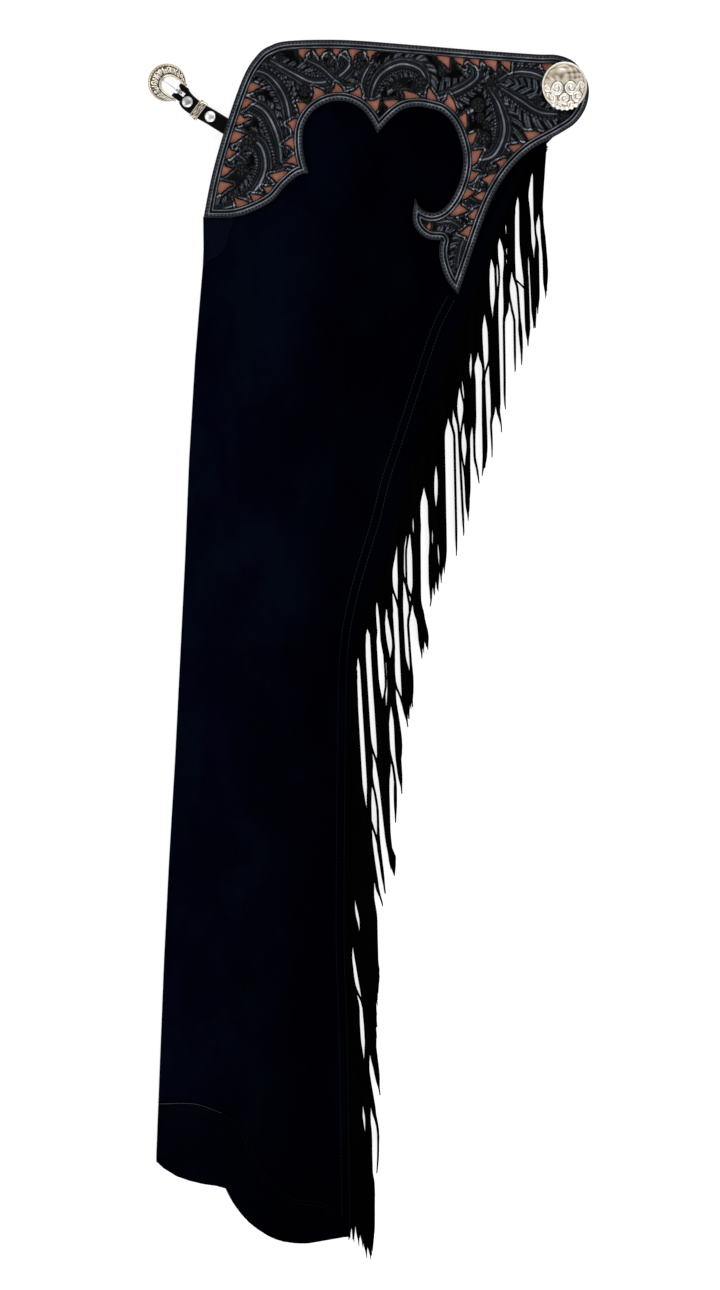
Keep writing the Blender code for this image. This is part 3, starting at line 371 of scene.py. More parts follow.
def smooth(points, steps):
    """Points along a smooth curve through an open row of points."""
    p = np.array(points, float)
    ends = np.vstack([2 * p[0] - p[1], p, 2 * p[-1] - p[-2]])
    found = []
    for i in range(len(p) - 1):
        a, b, c, d = ends[i:i + 4]
        for k in range(steps):
            t = k / steps
            found.append(0.5 * (2 * b + (c - a) * t + (2 * a - 5 * b + 4 * c - d) * t ** 2
                                + (3 * b - a - 3 * c + d) * t ** 3))
    found.append(p[-1])
    return np.array(found)


def unit(rows):
    """Rows of coordinates, each divided by its length."""
    return rows / np.maximum(np.linalg.norm(rows, axis=1, keepdims=True), 1e-9)


def to_right(tangent):
    """Directions a quarter turn to the right of others."""
    return np.column_stack([tangent[:, 1], -tangent[:, 0]])


def beside(line, outward):
    """A row of points, moved to its left by a distance."""
    return line - to_right(unit(np.gradient(line, axis=0))) * outward


def run_along(points):
    """Length of a row of points up to each of them."""
    return np.concatenate([[0], np.cumsum(np.linalg.norm(np.diff(points, axis=0), axis=1))])


def points_at(points, run, at):
    """Points at given places along a row whose own places are run."""
    return np.column_stack([np.interp(at, run, points[:, k]) for k in range(points.shape[1])])


def resample(points, count):
    """Evenly spaced points along a row of points, their unit tangents and the row's length."""
    p = np.array(points, float)
    run = run_along(p)
    even = points_at(p, run, np.linspace(0, run[-1], count))
    return even, unit(np.gradient(even, axis=0)), run[-1]


def table(rows, at):
    """Second column at a value of the first, from rows in any order."""
    return np.interp(at, *zip(*sorted(rows)))


def ease(low, high, value):
    """0 below low, 1 above high, smooth between."""
    t = np.clip((value - low) / (high - low), 0, 1)
    return t * t * (3 - 2 * t)


def bump(value, centre, width):
    """1 at the centre, and less to both sides."""
    return np.exp(-((value - centre) / width) ** 2)


def wave(angle):
    """From 1 down to 0 and back to 1 in a turn."""
    return 0.5 + 0.5 * np.cos(angle)


def turns(count):
    """Angles evenly spaced round a circle."""
    return [TURN * k / count for k in range(count)]


def from_photo(rows):
    """Places named by pixels of the photograph, in millimetres."""
    return [((x - PHOTO_CENTRE[0]) * PIXEL, (PHOTO_CENTRE[1] - y) * PIXEL) for x, y in rows]


def edit_mesh(piece, change):
    """Lets a function change the piece's mesh."""
    edit = bmesh.new()
    edit.from_mesh(piece.data)
    change(edit)
    edit.to_mesh(piece.data)
    edit.free()


def turn_outward(edit):
    bmesh.ops.recalc_face_normals(edit, faces=edit.faces)


def add_piece(name, points, faces, finish, body="chaps", tone=None, outward=False, hard=None,
              smooth_shade=True):
    """A piece from points in millimetres, which rides on its body.

    A number given for each point is kept for the material to read as a tone; on some pieces it holds
    painted highlights and painted shade. Edges sharper than hard, in degrees, are shaded as hard ones.
    """
    mesh = bpy.data.meshes.new(name)
    mesh.from_pydata((np.array(points, float) * MM).tolist(), [], [[int(i) for i in f] for f in faces])
    mesh.materials.append(finish)
    mesh.polygons.foreach_set("use_smooth", [smooth_shade] * len(mesh.polygons))
    mesh.update()
    piece = bpy.data.objects.new(name, mesh)
    bpy.context.scene.collection.objects.link(piece)
    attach(piece, body)
    if tone is not None:
        stored_tone = mesh.attributes.new("tone", "FLOAT", "POINT")
        stored_tone.data.foreach_set("value", np.array(tone, np.float32))
    if outward:
        edit_mesh(piece, turn_outward)

    def sharpen(edit):
        for edge in edit.edges:
            edge.smooth = len(edge.link_faces) == 2 and edge.calc_face_angle(0.0) < math.radians(hard)

    if hard:
        edit_mesh(piece, sharpen)
    return piece


def grid_faces(rows, columns, wrap=False, start=0):
    """Faces between rows of points, counter-clockwise for rows going up and columns going right."""
    faces = []
    for r in range(rows - 1):
        for c in range(columns if wrap else columns - 1):
            d = (c + 1) % columns
            faces.append((start + r * columns + c, start + r * columns + d,
                          start + (r + 1) * columns + d, start + (r + 1) * columns + c))
    return faces


def loft(faces, rows, columns, start=0, flip=False):
    """Adds the faces round a row of closed sections, and both ends."""
    faces.extend(grid_faces(rows, columns, wrap=True, start=start))
    first = tuple(range(start, start + columns))
    last = tuple(range(start + (rows - 1) * columns, start + rows * columns))
    faces.extend((first, last[::-1]) if flip else (first[::-1], last))


def tube(points, faces, path, radius, sides=5):
    """Adds a round tube along a path of 3-D points to lists of points and faces."""
    path = np.array(path, float)
    start = len(points)
    for centre, along, size in zip(path, unit(np.gradient(path, axis=0)),
                                   np.broadcast_to(radius, len(path))):
        helper = (0.0, 0.0, 1.0) if abs(along[2]) < 0.8 else (1.0, 0.0, 0.0)
        across = np.cross(along, helper)
        across /= np.linalg.norm(across)
        up = np.cross(across, along)
        for a in turns(sides):
            points.append(centre + (across * math.cos(a) + up * math.sin(a)) * size)
    loft(faces, len(path), sides, start)


def add_wall(piece, thickness, offset=0.0):
    """Gives a sheet its thickness, with the cut edge's material on its rim."""
    piece.data.materials.append(SUEDE_EDGE)
    wall = piece.modifiers.new("wall", "SOLIDIFY")
    wall.thickness = thickness * MM
    wall.offset = offset
    wall.use_even_offset = False
    wall.material_offset_rim = 1


# Materials

def set_socket(tree, socket, value):
    """Sets a number or colour, or links another node's output."""
    if isinstance(value, (int, float)):
        socket.default_value = value
    elif isinstance(value, tuple):
        socket.default_value = (*value, 1.0)
    else:
        tree.links.new(value, socket)


def new_material(name, colour, roughness, metallic=0.0, specular=0.5):
    made = bpy.data.materials.new(name)
    made.use_nodes = True
    shader = made.node_tree.nodes["Principled BSDF"]
    for key, value in (("Base Color", colour), ("Roughness", roughness), ("Metallic", metallic),
                       ("Specular IOR Level", specular)):
        set_socket(made.node_tree, shader.inputs[key], value)
    return made, made.node_tree, shader


def coords(tree):
    found = tree.nodes.get("Texture Coordinate")
    return (found or tree.nodes.new("ShaderNodeTexCoord")).outputs["Object"]


def across_and_along(tree):
    """Place across the leg and along it, in metres."""
    split = tree.nodes.new("ShaderNodeSeparateXYZ")
    tree.links.new(coords(tree), split.inputs[0])
    return split.outputs["X"], split.outputs["Y"]


def noise(tree, scale, detail=4.0, roughness=0.6, stretch=None):
    made = tree.nodes.new("ShaderNodeTexNoise")
    for key, value in (("Scale", scale), ("Detail", detail), ("Roughness", roughness)):
        made.inputs[key].default_value = value
    source = coords(tree)
    if stretch:
        mapping = tree.nodes.new("ShaderNodeMapping")
        mapping.inputs["Scale"].default_value = stretch
        tree.links.new(source, mapping.inputs["Vector"])
        source = mapping.outputs["Vector"]
    tree.links.new(source, made.inputs["Vector"])
    return made.outputs["Fac"]


def tone_of(tree):
    made = tree.nodes.new("ShaderNodeAttribute")
    made.attribute_name = "tone"
    return made.outputs["Fac"]


def ramp(tree, value, stops):
    """A colour ramp from stops of (place, colour)."""
    made = tree.nodes.new("ShaderNodeValToRGB")
    while len(made.color_ramp.elements) < len(stops):
        made.color_ramp.elements.new(0.5)
    for element, (place, colour) in zip(made.color_ramp.elements, stops):
        element.position = place
        element.color = (*colour, 1.0)
    tree.links.new(value, made.inputs["Fac"])
    return made.outputs["Color"]


def spread(tree, value, low, high, to_low, to_high):
    made = tree.nodes.new("ShaderNodeMapRange")
    for key, number in (("From Min", low), ("From Max", high), ("To Min", to_low), ("To Max", to_high)):
        made.inputs[key].default_value = number
    tree.links.new(value, made.inputs["Value"])
    return made.outputs["Result"]


def mix_colour(tree, factor, first, second):
    made = tree.nodes.new("ShaderNodeMix")
    made.data_type = "RGBA"
    for index, value in ((0, factor), (6, first), (7, second)):
        set_socket(tree, made.inputs[index], value)
    return made.outputs[2]


def calculate(tree, operation, first, second):
    made = tree.nodes.new("ShaderNodeMath")
    made.operation = operation
    for socket, value in zip(made.inputs, (first, second)):
        set_socket(tree, socket, value)
    return made.outputs[0]


def cover(tree, shader, colour, height, strength, depth):
    """Gives the surface its colour and a bump of a depth in millimetres."""
    tree.links.new(colour, shader.inputs["Base Color"])
    made = tree.nodes.new("ShaderNodeBump")
    made.inputs["Strength"].default_value = strength
    made.inputs["Distance"].default_value = depth * MM
    tree.links.new(height, made.inputs["Height"])
    tree.links.new(made.outputs["Normal"], shader.inputs["Normal"])


def dim(colour, share):
    return tuple(c * share for c in colour)


def suede(name, dark, light, sheen, teal=None):
    """Napped suede: large brushed patches, fine fibres and a low sheen."""
    made, tree, shader = new_material(name, dark, 1.0, specular=0.0)
    patches = noise(tree, 16.0, 3.0, 0.5, (1.0, 0.55, 1.0))
    brushed = noise(tree, 70.0, 4.0, 0.65, (1.0, 0.35, 1.0))
    fibres = noise(tree, 900.0, 3.0, 0.7)
    mottled = calculate(tree, "ADD", calculate(tree, "MULTIPLY", patches, 0.6),
                        calculate(tree, "MULTIPLY", brushed, 0.4))
    middle = tuple((a + b) / 2 for a, b in zip(dark, light))
    colour = ramp(tree, mottled, [(0.40, dark), (0.52, middle), (0.64, light)])
    if teal:
        cool = noise(tree, 13.0, 5.0, 0.6, (1.0, 0.7, 1.0))
        colour = mix_colour(tree, spread(tree, cool, 0.48, 0.62, 0.0, 0.8), colour, teal)
    colour = mix_colour(tree, spread(tree, fibres, 0.35, 0.7, 0.0, 0.5), colour, dim(light, 1.8))
    x, y = across_and_along(tree)
    from_front = calculate(tree, "ADD", x, calculate(tree, "MULTIPLY", y, -0.08))
    # Darker towards the back of the leg and towards the hem.
    for darkening in (spread(tree, from_front, -0.090, -0.030, 0.0, 0.62),
                 spread(tree, y, -0.44, -0.26, 0.50, 0.0)):
        colour = mix_colour(tree, darkening, colour, dim(dark, 0.4))
    shader.inputs["Sheen Weight"].default_value = sheen
    shader.inputs["Sheen Roughness"].default_value = 0.5
    shader.inputs["Sheen Tint"].default_value = (0.25, 0.35, 0.9, 1.0)
    cover(tree, shader, colour, fibres, 0.5, 0.25)
    return made


def tooled_leather():
    """Black dyed leather, coloured by the height's rank: black cuts, painted shade in the recesses and
    bluish painted highlights on the crests.
    """
    made, tree, shader = new_material("tooled_black_leather", (0.01, 0.01, 0.014), 0.4, specular=0.09)
    tone = tone_of(tree)
    grain = noise(tree, 700.0)
    patches = noise(tree, 75.0, 3.0, 0.5)
    # The height's rank with random patches; the ramp paints low values as shade in the recesses and high
    # values as bluish highlights on the crests.
    tone_by_height = calculate(tree, "ADD", tone, spread(tree, patches, 0.3, 0.7, -0.08, 0.08))
    colour = ramp(tree, tone_by_height, [
        (0.0, (0.0002, 0.0002, 0.0003)), (0.25, (0.0005, 0.0005, 0.0008)),
        (0.50, (0.0032, 0.0039, 0.0060)), (0.72, (0.0155, 0.0182, 0.0250)),
        (0.88, (0.068, 0.079, 0.099)), (0.96, (0.170, 0.188, 0.214)), (1.0, (0.270, 0.290, 0.312)),
    ])
    colour = mix_colour(tree, spread(tree, grain, 0.45, 0.75, 0.0, 0.35), colour, (0.002, 0.002, 0.003))
    tree.links.new(spread(tree, grain, 0.3, 0.7, 0.24, 0.36), shader.inputs["Roughness"])
    cover(tree, shader, colour, grain, 0.35, 0.15)
    return made


def inlay_leather():
    made, tree, shader = new_material("brown_inlay_leather", (0.28, 0.085, 0.045), 0.6, specular=0.2)
    grain = noise(tree, 1300.0, 3.0)
    colour = ramp(tree, noise(tree, 120.0), [
        (0.30, (0.250, 0.093, 0.063)), (0.55, (0.325, 0.129, 0.088)), (0.75, (0.390, 0.167, 0.120))])
    colour = mix_colour(tree, spread(tree, grain, 0.45, 0.7, 0.0, 0.35), colour, (0.16, 0.045, 0.025))
    cover(tree, shader, colour, grain, 0.5, 0.12)
    return made


def strap_leather():
    made, tree, shader = new_material("strap_leather", (0.002, 0.002, 0.003), 0.34, specular=0.09)
    colour = ramp(tree, tone_of(tree), [
        (0.0, (0.0008, 0.0008, 0.0012)), (0.6, (0.0012, 0.0013, 0.0020)), (1.0, (0.035, 0.038, 0.046))])
    cover(tree, shader, colour, noise(tree, 900.0), 0.4, 0.15)
    return made


def silver(name, bright, dark, roughness, plain_share):
    """Engraved silver: dark oxide in the cuts, warm plain parts and bright crests."""
    made, tree, shader = new_material(name, bright, roughness, metallic=1.0)
    cloud = noise(tree, 260.0)
    plain = tuple(b * share for b, share in zip(bright, plain_share))
    colour = ramp(tree, tone_of(tree), [(0.08, dark), (0.32, dim(plain, 0.62)), (0.50, plain),
                                          (0.85, bright)])
    colour = mix_colour(tree, spread(tree, cloud, 0.35, 0.7, 0.0, 0.22), colour, dim(plain, 0.78))
    tree.links.new(spread(tree, cloud, 0.3, 0.7, roughness - 0.05, roughness + 0.08),
                   shader.inputs["Roughness"])
    cover(tree, shader, colour, noise(tree, 1400.0, 2.0, 0.5), 0.15, 0.05)
    return made


def thread(name, colour, shine=0.2, tone_by_height=None):
    """Twisted thread. A pair of heights may be given: below the first it is nearly black, above the second
    it keeps its colour.
    """
    made, tree, shader = new_material(name, colour, 0.6, specular=shine)
    twist = noise(tree, 2500.0, 2.0, 0.5)
    shown = mix_colour(tree, spread(tree, twist, 0.4, 0.6, 0.0, 0.5), colour, dim(colour, 0.5))
    if tone_by_height:
        # Darker towards the bottom.
        shown = mix_colour(tree, spread(tree, across_and_along(tree)[1], *tone_by_height, 0.9, 0.0), shown,
                           (0.0003, 0.0006, 0.0018))
    tree.links.new(shown, shader.inputs["Base Color"])
    return made


SUEDE_BLACK = suede("suede_black", (0.00004, 0.00006, 0.0006), (0.0006, 0.0007, 0.0042), 0.003,
                    (0.0005, 0.0026, 0.0052))
SUEDE_FRINGE = suede("suede_fringe", (0.00006, 0.00006, 0.00008), (0.0017, 0.0017, 0.0021), 0.002)
SUEDE_BAND = suede("suede_band", (0.0001, 0.0002, 0.0009), (0.0007, 0.0011, 0.0036), 0.002)
SUEDE_TRIM = suede("suede_trim", (0.0007, 0.0010, 0.0032), (0.0019, 0.0025, 0.0070), 0.012)
SUEDE_EDGE = suede("suede_cut_edge", (0.003, 0.0035, 0.008), (0.007, 0.008, 0.016), 0.015)
TOOLED = tooled_leather()
INLAY = inlay_leather()
STRAP = strap_leather()
SILVER = silver("engraved_silver", (0.96, 0.93, 0.86), (0.03, 0.025, 0.02), 0.42, (0.62, 0.54, 0.43))
CONCHO_SILVER = silver("concho_silver", (1.0, 0.985, 0.945), (0.12, 0.10, 0.08), 0.46, (0.80, 0.69, 0.56))
STEEL = silver("plated_steel", (0.95, 0.95, 0.95), (0.16, 0.15, 0.12), 0.40, (0.60, 0.59, 0.58))
SEAM_THREAD = thread("seam_thread", (0.0032, 0.0135, 0.021), 0.05, (-0.02, 0.06))
CUT_EDGE = thread("cut_edge", (0.026, 0.025, 0.026))
HEM_THREAD = thread("hem_thread", (0.0003, 0.0006, 0.0018), 0.03)
YOKE_THREAD = thread("yoke_thread", (0.055, 0.058, 0.066))


# The tooled yoke

def yoke_outline(steps):
    """The whole yoke, clockwise seen from above."""
    return np.vstack([smooth(points, steps)[:-1] for points in YOKE_STRETCHES.values()])


def closed(outline):
    return np.vstack([outline, outline[:1]])


def gap_shape(lean):
    """A hollow-sided triangle, in shares of its length along the border and its depth."""
    tip = 0.10 + 0.42 * lean
    near_side = [(0.50, 0.0), (0.24 + 0.24 * lean, 0.30), (0.13 + 0.36 * lean, 0.62), (tip, 1.0)]
    far_side = [(tip, 1.0), (-0.10 + 0.30 * lean, 0.66), (-0.34 + 0.12 * lean, 0.36), (-0.50, 0.0)]
    return np.vstack([[(-0.50, 0.0), (0.0, -0.02)], smooth(near_side, 5)[:-1], smooth(far_side, 4)[:-1]])


def gap_outlines():
    """Leaf-tip gaps set along the inner side of the yoke's border."""
    found = []
    for stretch, start, end, count, length, depth, lean in GAP_ROWS:
        line, tangent, run = resample(smooth(YOKE_STRETCHES[stretch], 8), 400)
        inward = to_right(tangent)
        along, away = gap_shape(lean).T
        for k in range(count):
            middle = (start + (end - start) * (k + 0.5) / count) * run
            size = length * (1.0 + 0.13 * math.sin(2.4 * k + 1)) * GAP_GROWTH[0]
            tall = depth * (1.0 + 0.16 * math.cos(1.9 * k)) * GAP_GROWTH[1]
            at = np.clip((middle + along * size) / run * (len(line) - 1), 0, len(line) - 1)
            index = np.round(at).astype(int)
            found.append(line[index] + inward[index] * (BORDER_WIDTH + 0.1 + away * tall)[:, None])
    return found


def depth_within(points, outline):
    """Distance from each point to a closed outline, negative outside it."""
    x, y = points.T
    odd = np.zeros(len(points), bool)
    best = np.full(len(points), 1e9)
    for a, b in zip(outline, np.roll(outline, -1, axis=0)):
        side = b - a
        if side[1] != 0:
            odd ^= ((a[1] > y) != (b[1] > y)) & (x < side[0] * (y - a[1]) / side[1] + a[0])
        t = np.clip(((points - a) @ side) / max(side @ side, 1e-9), 0, 1)
        best = np.minimum(best, ((points - a - t[:, None] * side) ** 2).sum(axis=1))
    return np.sqrt(best) * np.where(odd, 1, -1)


def nearest_on(points, spine):
    """Index of the nearest point of a spine, and the distance to it."""
    index = np.zeros(len(points), int)
    away = np.zeros(len(points))
    for start in range(0, len(points), 4000):
        block = slice(start, start + 4000)
        apart = ((points[block, None, :] - spine[None, :, :]) ** 2).sum(axis=2)
        index[block] = apart.argmin(axis=1)
        away[block] = apart.min(axis=1)
    return index, np.sqrt(away)


def within_reach(points, shape, reach):
    low = shape.min(axis=0) - reach
    high = shape.max(axis=0) + reach
    return np.flatnonzero(((points > low) & (points < high)).all(axis=1))


def scroll_relief(points, spine_points, ruffled, lined):
    """Near points of one scroll: height on it, depth inside its edge, and its finger leaves."""
    curve = smooth(spine_points, 14)
    length = run_along(curve)[-1]
    spine, tangent, run = resample(curve, int(length / 0.5))
    near = within_reach(points, spine, max(abs(ruffled), lined) + FINGER_REACH + 1)
    index, away = nearest_on(points[near], spine)
    u = index / (len(spine) - 1)
    offset = points[near] - spine[index]
    side = tangent[index, 0] * offset[:, 1] - tangent[index, 1] * offset[:, 0]
    out = side * ruffled > 0
    half = np.where(out, abs(ruffled), lined) * table(SCROLL_SWELL, u)
    q = np.clip(away / half, 0, 3)
    lobes = round(length / LOBE_PITCH)
    lobe = wave(TURN * (lobes * u - 0.9 * q))
    wide_lobe = wave(TURN * (lobes * u / 2.5 - 0.8 * q))
    edge = np.where(out, 1.0 - 0.16 * (1 - lobe), 1.0 - 0.22 * (1 - wide_lobe))
    depth_in = (edge - q) * half
    stem = (0.75 * bump(q, 0, 0.13) - 0.55 * bump(q, 0.22, 0.06)
            + 0.35 * bump(q, 0.32, 0.06) - 0.45 * bump(q, 0.42, 0.05))
    ruffle = (0.50 * (lobe - 0.5) * ease(0.42, 0.60, q) + 0.62 * lobe ** 2 * bump(q, 0.86, 0.11)
              - 0.35 * bump(q, 0.66, 0.09))
    lines = (0.34 * np.cos(TURN * (q * 2.6 + 0.35)) * ease(0.3, 0.5, q)
             + 0.45 * (wide_lobe - 0.6) * ease(0.55, 0.9, q))
    height = (0.30 + stem + np.where(out, ruffle, lines)) * ease(0.0, 0.7, depth_in)

    outside = -depth_in
    turn = run * u / FINGER_PITCH - 0.09 * outside + 0.25
    across = np.abs(turn - np.floor(turn) - 0.5) * FINGER_PITCH
    share = np.clip(outside / FINGER_REACH, 0, 1)
    finger_half = 3.0 * np.sqrt(1 - share ** 1.6) * np.interp(share, [0, 0.25, 0.5], [0.75, 0.9, 1])
    f = across / np.maximum(finger_half, 0.05)
    finger = 0.15 + 0.75 * np.sqrt(np.clip(1 - f ** 2, 0, 1)) - 0.65 * bump(f, 0, 0.24) * (share < 0.75)
    finger = np.where(f < 1, finger * ease(0, 0.5, (1 - f) * finger_half), -0.85)
    past_end = (index == len(spine) - 1) & (outside > 0)
    return near, height, depth_in, np.where(past_end, -0.6, finger)


def border_relief(d, run):
    """Height on the way in from the edge: round edge, stitch pits, lip, groove, ridge, cut."""
    pits = wave(TURN * run / STITCH_PITCH)
    height = 0.52 * ease(-0.1, 0.8, d) - (1.35 * pits ** 1.5) * bump(d, 2.0, 0.62)
    height += 0.62 * bump(d, 3.4, 0.62) - 1.05 * bump(d, 4.8, 0.68)
    return height + 0.62 * bump(d, 6.1, 0.58) - 1.40 * bump(d, 7.3, 0.50)


def rosette_relief(points, centre, radius):
    """Near points of a rosette and their heights: a ball, petals and a ring of beads."""
    near = within_reach(points, np.array([centre]), radius)
    near = near[np.hypot(*(points[near] - centre).T) / radius < 1]
    x, y = (points[near] - centre).T
    r = np.hypot(x, y) / radius
    turn = np.arctan2(y, x)
    petals = np.abs(np.cos(2.5 * turn)) * bump(r, 0.50, 0.20)
    beads = wave(round(2.4 * radius) * turn) * bump(r, 0.84, 0.11)
    return near, -0.75 + 1.5 * bump(r, 0, 0.20) + 1.35 * petals + 1.25 * beads


def tooled_relief(points, from_edge, from_cut, run):
    """Height of the tooling at each point, in millimetres above the field."""
    height = np.full(len(points), -0.75)
    fingers = height.copy()
    outside = np.full(len(points), 1e9)
    on_scroll = np.zeros(len(points), bool)
    for scroll in SCROLLS:
        near, own, depth_in, finger = scroll_relief(points, *scroll)
        closer = -depth_in < outside[near]
        fingers[near[closer]] = finger[closer]
        outside[near[closer]] = -depth_in[closer]
        put = depth_in > 0
        height[near[put]] = own[put]
        on_scroll[near[put]] = True
        moat = (depth_in <= 0) & (depth_in > -1.0) & on_scroll[near]
        height[near[moat]] = np.minimum(height[near[moat]], -0.9 * (1 + depth_in[moat] * 0.3))
    for x, y, radius in ROSETTES:
        near, own = rosette_relief(points, (x, y), radius)
        height[near] = own
        on_scroll[near] = True
    bare = ~on_scroll
    height[bare] = fingers[bare] - 0.9 * np.clip(1 - outside[bare] / 0.8, 0, 1)
    height = np.maximum(height, -1.0)
    in_field = ease(BORDER_WIDTH - 0.25, BORDER_WIDTH + 0.35, from_edge)
    height += (0.75 * bump(from_cut, 1.9, 0.55) - 0.5 * bump(from_cut, 3.1, 0.5)) * in_field
    height = border_relief(from_edge, run) * (1 - in_field) + height * in_field
    cut_edge = (1 - ease(0.2, 1.0, from_cut)) * in_field
    return np.clip(height - (height + 0.9) * cut_edge, -1.0, 1.15)


def clean_cells(quads, corner_count):
    """Drops grid cells that touch others at a corner only, and then all but the largest patch."""
    while True:
        edges = np.concatenate([quads[:, [k, (k + 1) % 4]] for k in range(4)])
        key, back = (first * corner_count + second for first, second in (edges.T, edges.T[::-1]))
        rim = edges[~np.isin(key, back)]
        pinched = np.flatnonzero(np.bincount(rim[:, 0], minlength=corner_count) > 1)
        if len(pinched) == 0:
            break
        quads = quads[~np.isin(quads, pinched).any(axis=1)]
    patch = np.arange(corner_count)
    before = None
    while not np.array_equal(patch, before):
        before = patch.copy()
        np.minimum.at(patch, quads.ravel(), np.repeat(patch[quads].min(axis=1), 4))
        patch = patch[patch]
    names = patch[quads[:, 0]]
    largest = np.bincount(names).argmax()
    return quads[names == largest], rim[patch[rim[:, 0]] == largest]


def close_floor(edit):
    """Fills the underside between the lower edges of the walls."""
    low_edges = [e for e in edit.edges if len(e.link_faces) == 1]
    filled = bmesh.ops.triangle_fill(edit, use_beauty=False, use_dissolve=False, edges=low_edges,
                                     normal=(0.0, 0.0, -1.0))
    for face in filled["geom"]:
        if isinstance(face, bmesh.types.BMFace) and face.normal.z > 0:
            face.normal_flip()


def make_yoke_overlay():
    """The tooled leather as a fine height field, cut at its outline and its gaps."""
    outline = yoke_outline(8)
    xs = np.arange(*YOKE_ACROSS, YOKE_CELL)
    ys = np.arange(*YOKE_ALONG, YOKE_CELL)
    points = np.column_stack([g.ravel() for g in np.meshgrid(xs, ys)])
    from_edge = depth_within(points, outline)
    from_cut = np.full(len(points), 99.0)
    for gap in gap_outlines():
        close = within_reach(points, gap, 3.0)
        from_cut[close] = np.minimum(from_cut[close], -depth_within(points[close], gap))
    leather = np.minimum(from_edge, from_cut)
    edge_line, _, edge_run = resample(closed(outline), 3000)
    bordered = np.flatnonzero((from_edge > -1) & (from_edge < 4))
    run = np.zeros(len(points))
    run[bordered] = nearest_on(points[bordered], edge_line)[0] / (len(edge_line) - 1) * edge_run
    height = tooled_relief(points, from_edge, from_cut, run)

    quads = np.array(grid_faces(len(ys), len(xs)))
    quads, rim = clean_cells(quads[leather[quads].mean(axis=1) > 0], len(points))
    slope_y, slope_x = np.gradient(leather.reshape(len(ys), len(xs)), YOKE_CELL)
    on_rim = np.unique(rim)
    slope = np.column_stack([slope_x.ravel()[on_rim], slope_y.ravel()[on_rim]])
    slope /= np.maximum(np.linalg.norm(slope, axis=1, keepdims=True), 0.3)
    shift = np.clip(leather[on_rim], -0.8 * YOKE_CELL, 0.8 * YOKE_CELL)
    points[on_rim] -= slope * shift[:, None]

    used = np.unique(quads)
    number = np.full(len(points), -1)
    number[used] = np.arange(len(used))
    floor_of = np.full(len(points), -1)
    floor_of[on_rim] = len(used) + np.arange(len(on_rim))
    top = np.column_stack([points[used], FIELD_HEIGHT + height[used]])
    bottom = np.column_stack([points[on_rim], np.full(len(on_rim), OVERLAY_BOTTOM)])
    first, second = rim.T
    walls = np.column_stack([number[second], number[first], floor_of[first], floor_of[second]])
    # Each point's tone is the rank of its height, which the material paints from shade in the recesses to
    # highlights on the crests.
    tone = np.searchsorted(np.sort(height[used]), height[used]) / len(used)
    # Points on the cut rim stay dark: the black cut edge, with painted shade along it.
    tone[number[on_rim]] = np.minimum(tone[number[on_rim]], 0.35)
    piece = add_piece("tooled_yoke", np.vstack([top, bottom]), np.vstack([number[quads], walls]), TOOLED,
                      tone=np.concatenate([tone, np.full(len(on_rim), 0.05)]))
    edit_mesh(piece, close_floor)
    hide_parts("yoke_overlay")
    return piece


def add_stitch(points, faces, middle, along, height, length, radius, knee, rise, sink):
    """A short arched thread: flat between its knees, and lower at both ends."""
    path = [(*(middle + along * length * share), height + up)
            for share, up in ((-0.5, sink), (-knee, rise), (knee, rise), (0.5, sink))]
    tube(points, faces, path, radius)


def make_yoke_stitches():
    """Stitches in the groove along the yoke's edge."""
    line, tangent, run = resample(closed(yoke_outline(8)), 2200)
    inward = to_right(tangent)
    outline = yoke_outline(4)
    points, faces = [], []
    for k in range(int(run / STITCH_PITCH)):
        i = int((k + 0.5) * STITCH_PITCH / run * (len(line) - 1))
        middle = line[i] + inward[i] * STITCH_INSET
        if depth_within(middle[None, :], outline)[0] > 1.6:
            add_stitch(points, faces, middle, tangent[i], FIELD_HEIGHT + 0.28, *YOKE_STITCH)
    piece = add_piece("yoke_stitches", points, faces, YOKE_THREAD)


def corner_directions(outline):
    """Directions into a clockwise outline: at each corner, and from the side behind it."""
    behind = to_right(unit(outline - np.roll(outline, 1, axis=0)))
    ahead = to_right(unit(np.roll(outline, -1, axis=0) - outline))
    return unit(behind + ahead), behind


def stacked_faces(rows, count):
    """Faces of a solid whose points are clockwise outlines, the lowest first."""
    total = rows * count
    faces = [tuple(range(count)), tuple(range(total - 1, total - count - 1, -1))]
    for r in range(rows - 1):
        here, above = r * count, (r + 1) * count
        for i in range(count):
            j = (i + 1) % count
            faces.append((here + j, here + i, above + i, above + j))
    return faces


def make_inlay():
    """The brown leather behind the gaps, as a thin closed plate on the suede."""
    outline = yoke_outline(4)
    moved = outline + corner_directions(outline)[0] * INLAY_INSET
    moved = moved[depth_within(moved, outline) > INLAY_INSET - 0.1]
    points = [(*p, z) for z in (TRIM_BOTTOM, INLAY_TOP) for p in moved]
    piece = add_piece("brown_inlay", points, stacked_faces(2, len(moved)), INLAY, smooth_shade=False)
    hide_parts("yoke_inlay")
    return piece


# The suede leg and its trim

def fold_height(x, y):
    """How far the soft ridges lift the near layer at a point."""
    height = 0.10 * math.sin(x * 0.11 + 1.7 * math.sin(y * 0.021)) * math.sin(y * 0.055 + 0.9)
    for cx, cy, length, width, turn, lift in LEG_FOLDS:
        a = math.radians(turn)
        along = (x - cx) * math.cos(a) + (y - cy) * math.sin(a)
        across = -(x - cx) * math.sin(a) + (y - cy) * math.cos(a)
        height += lift * math.exp(-(2 * along / length) ** 2 - (2 * across / width) ** 2)
    return height


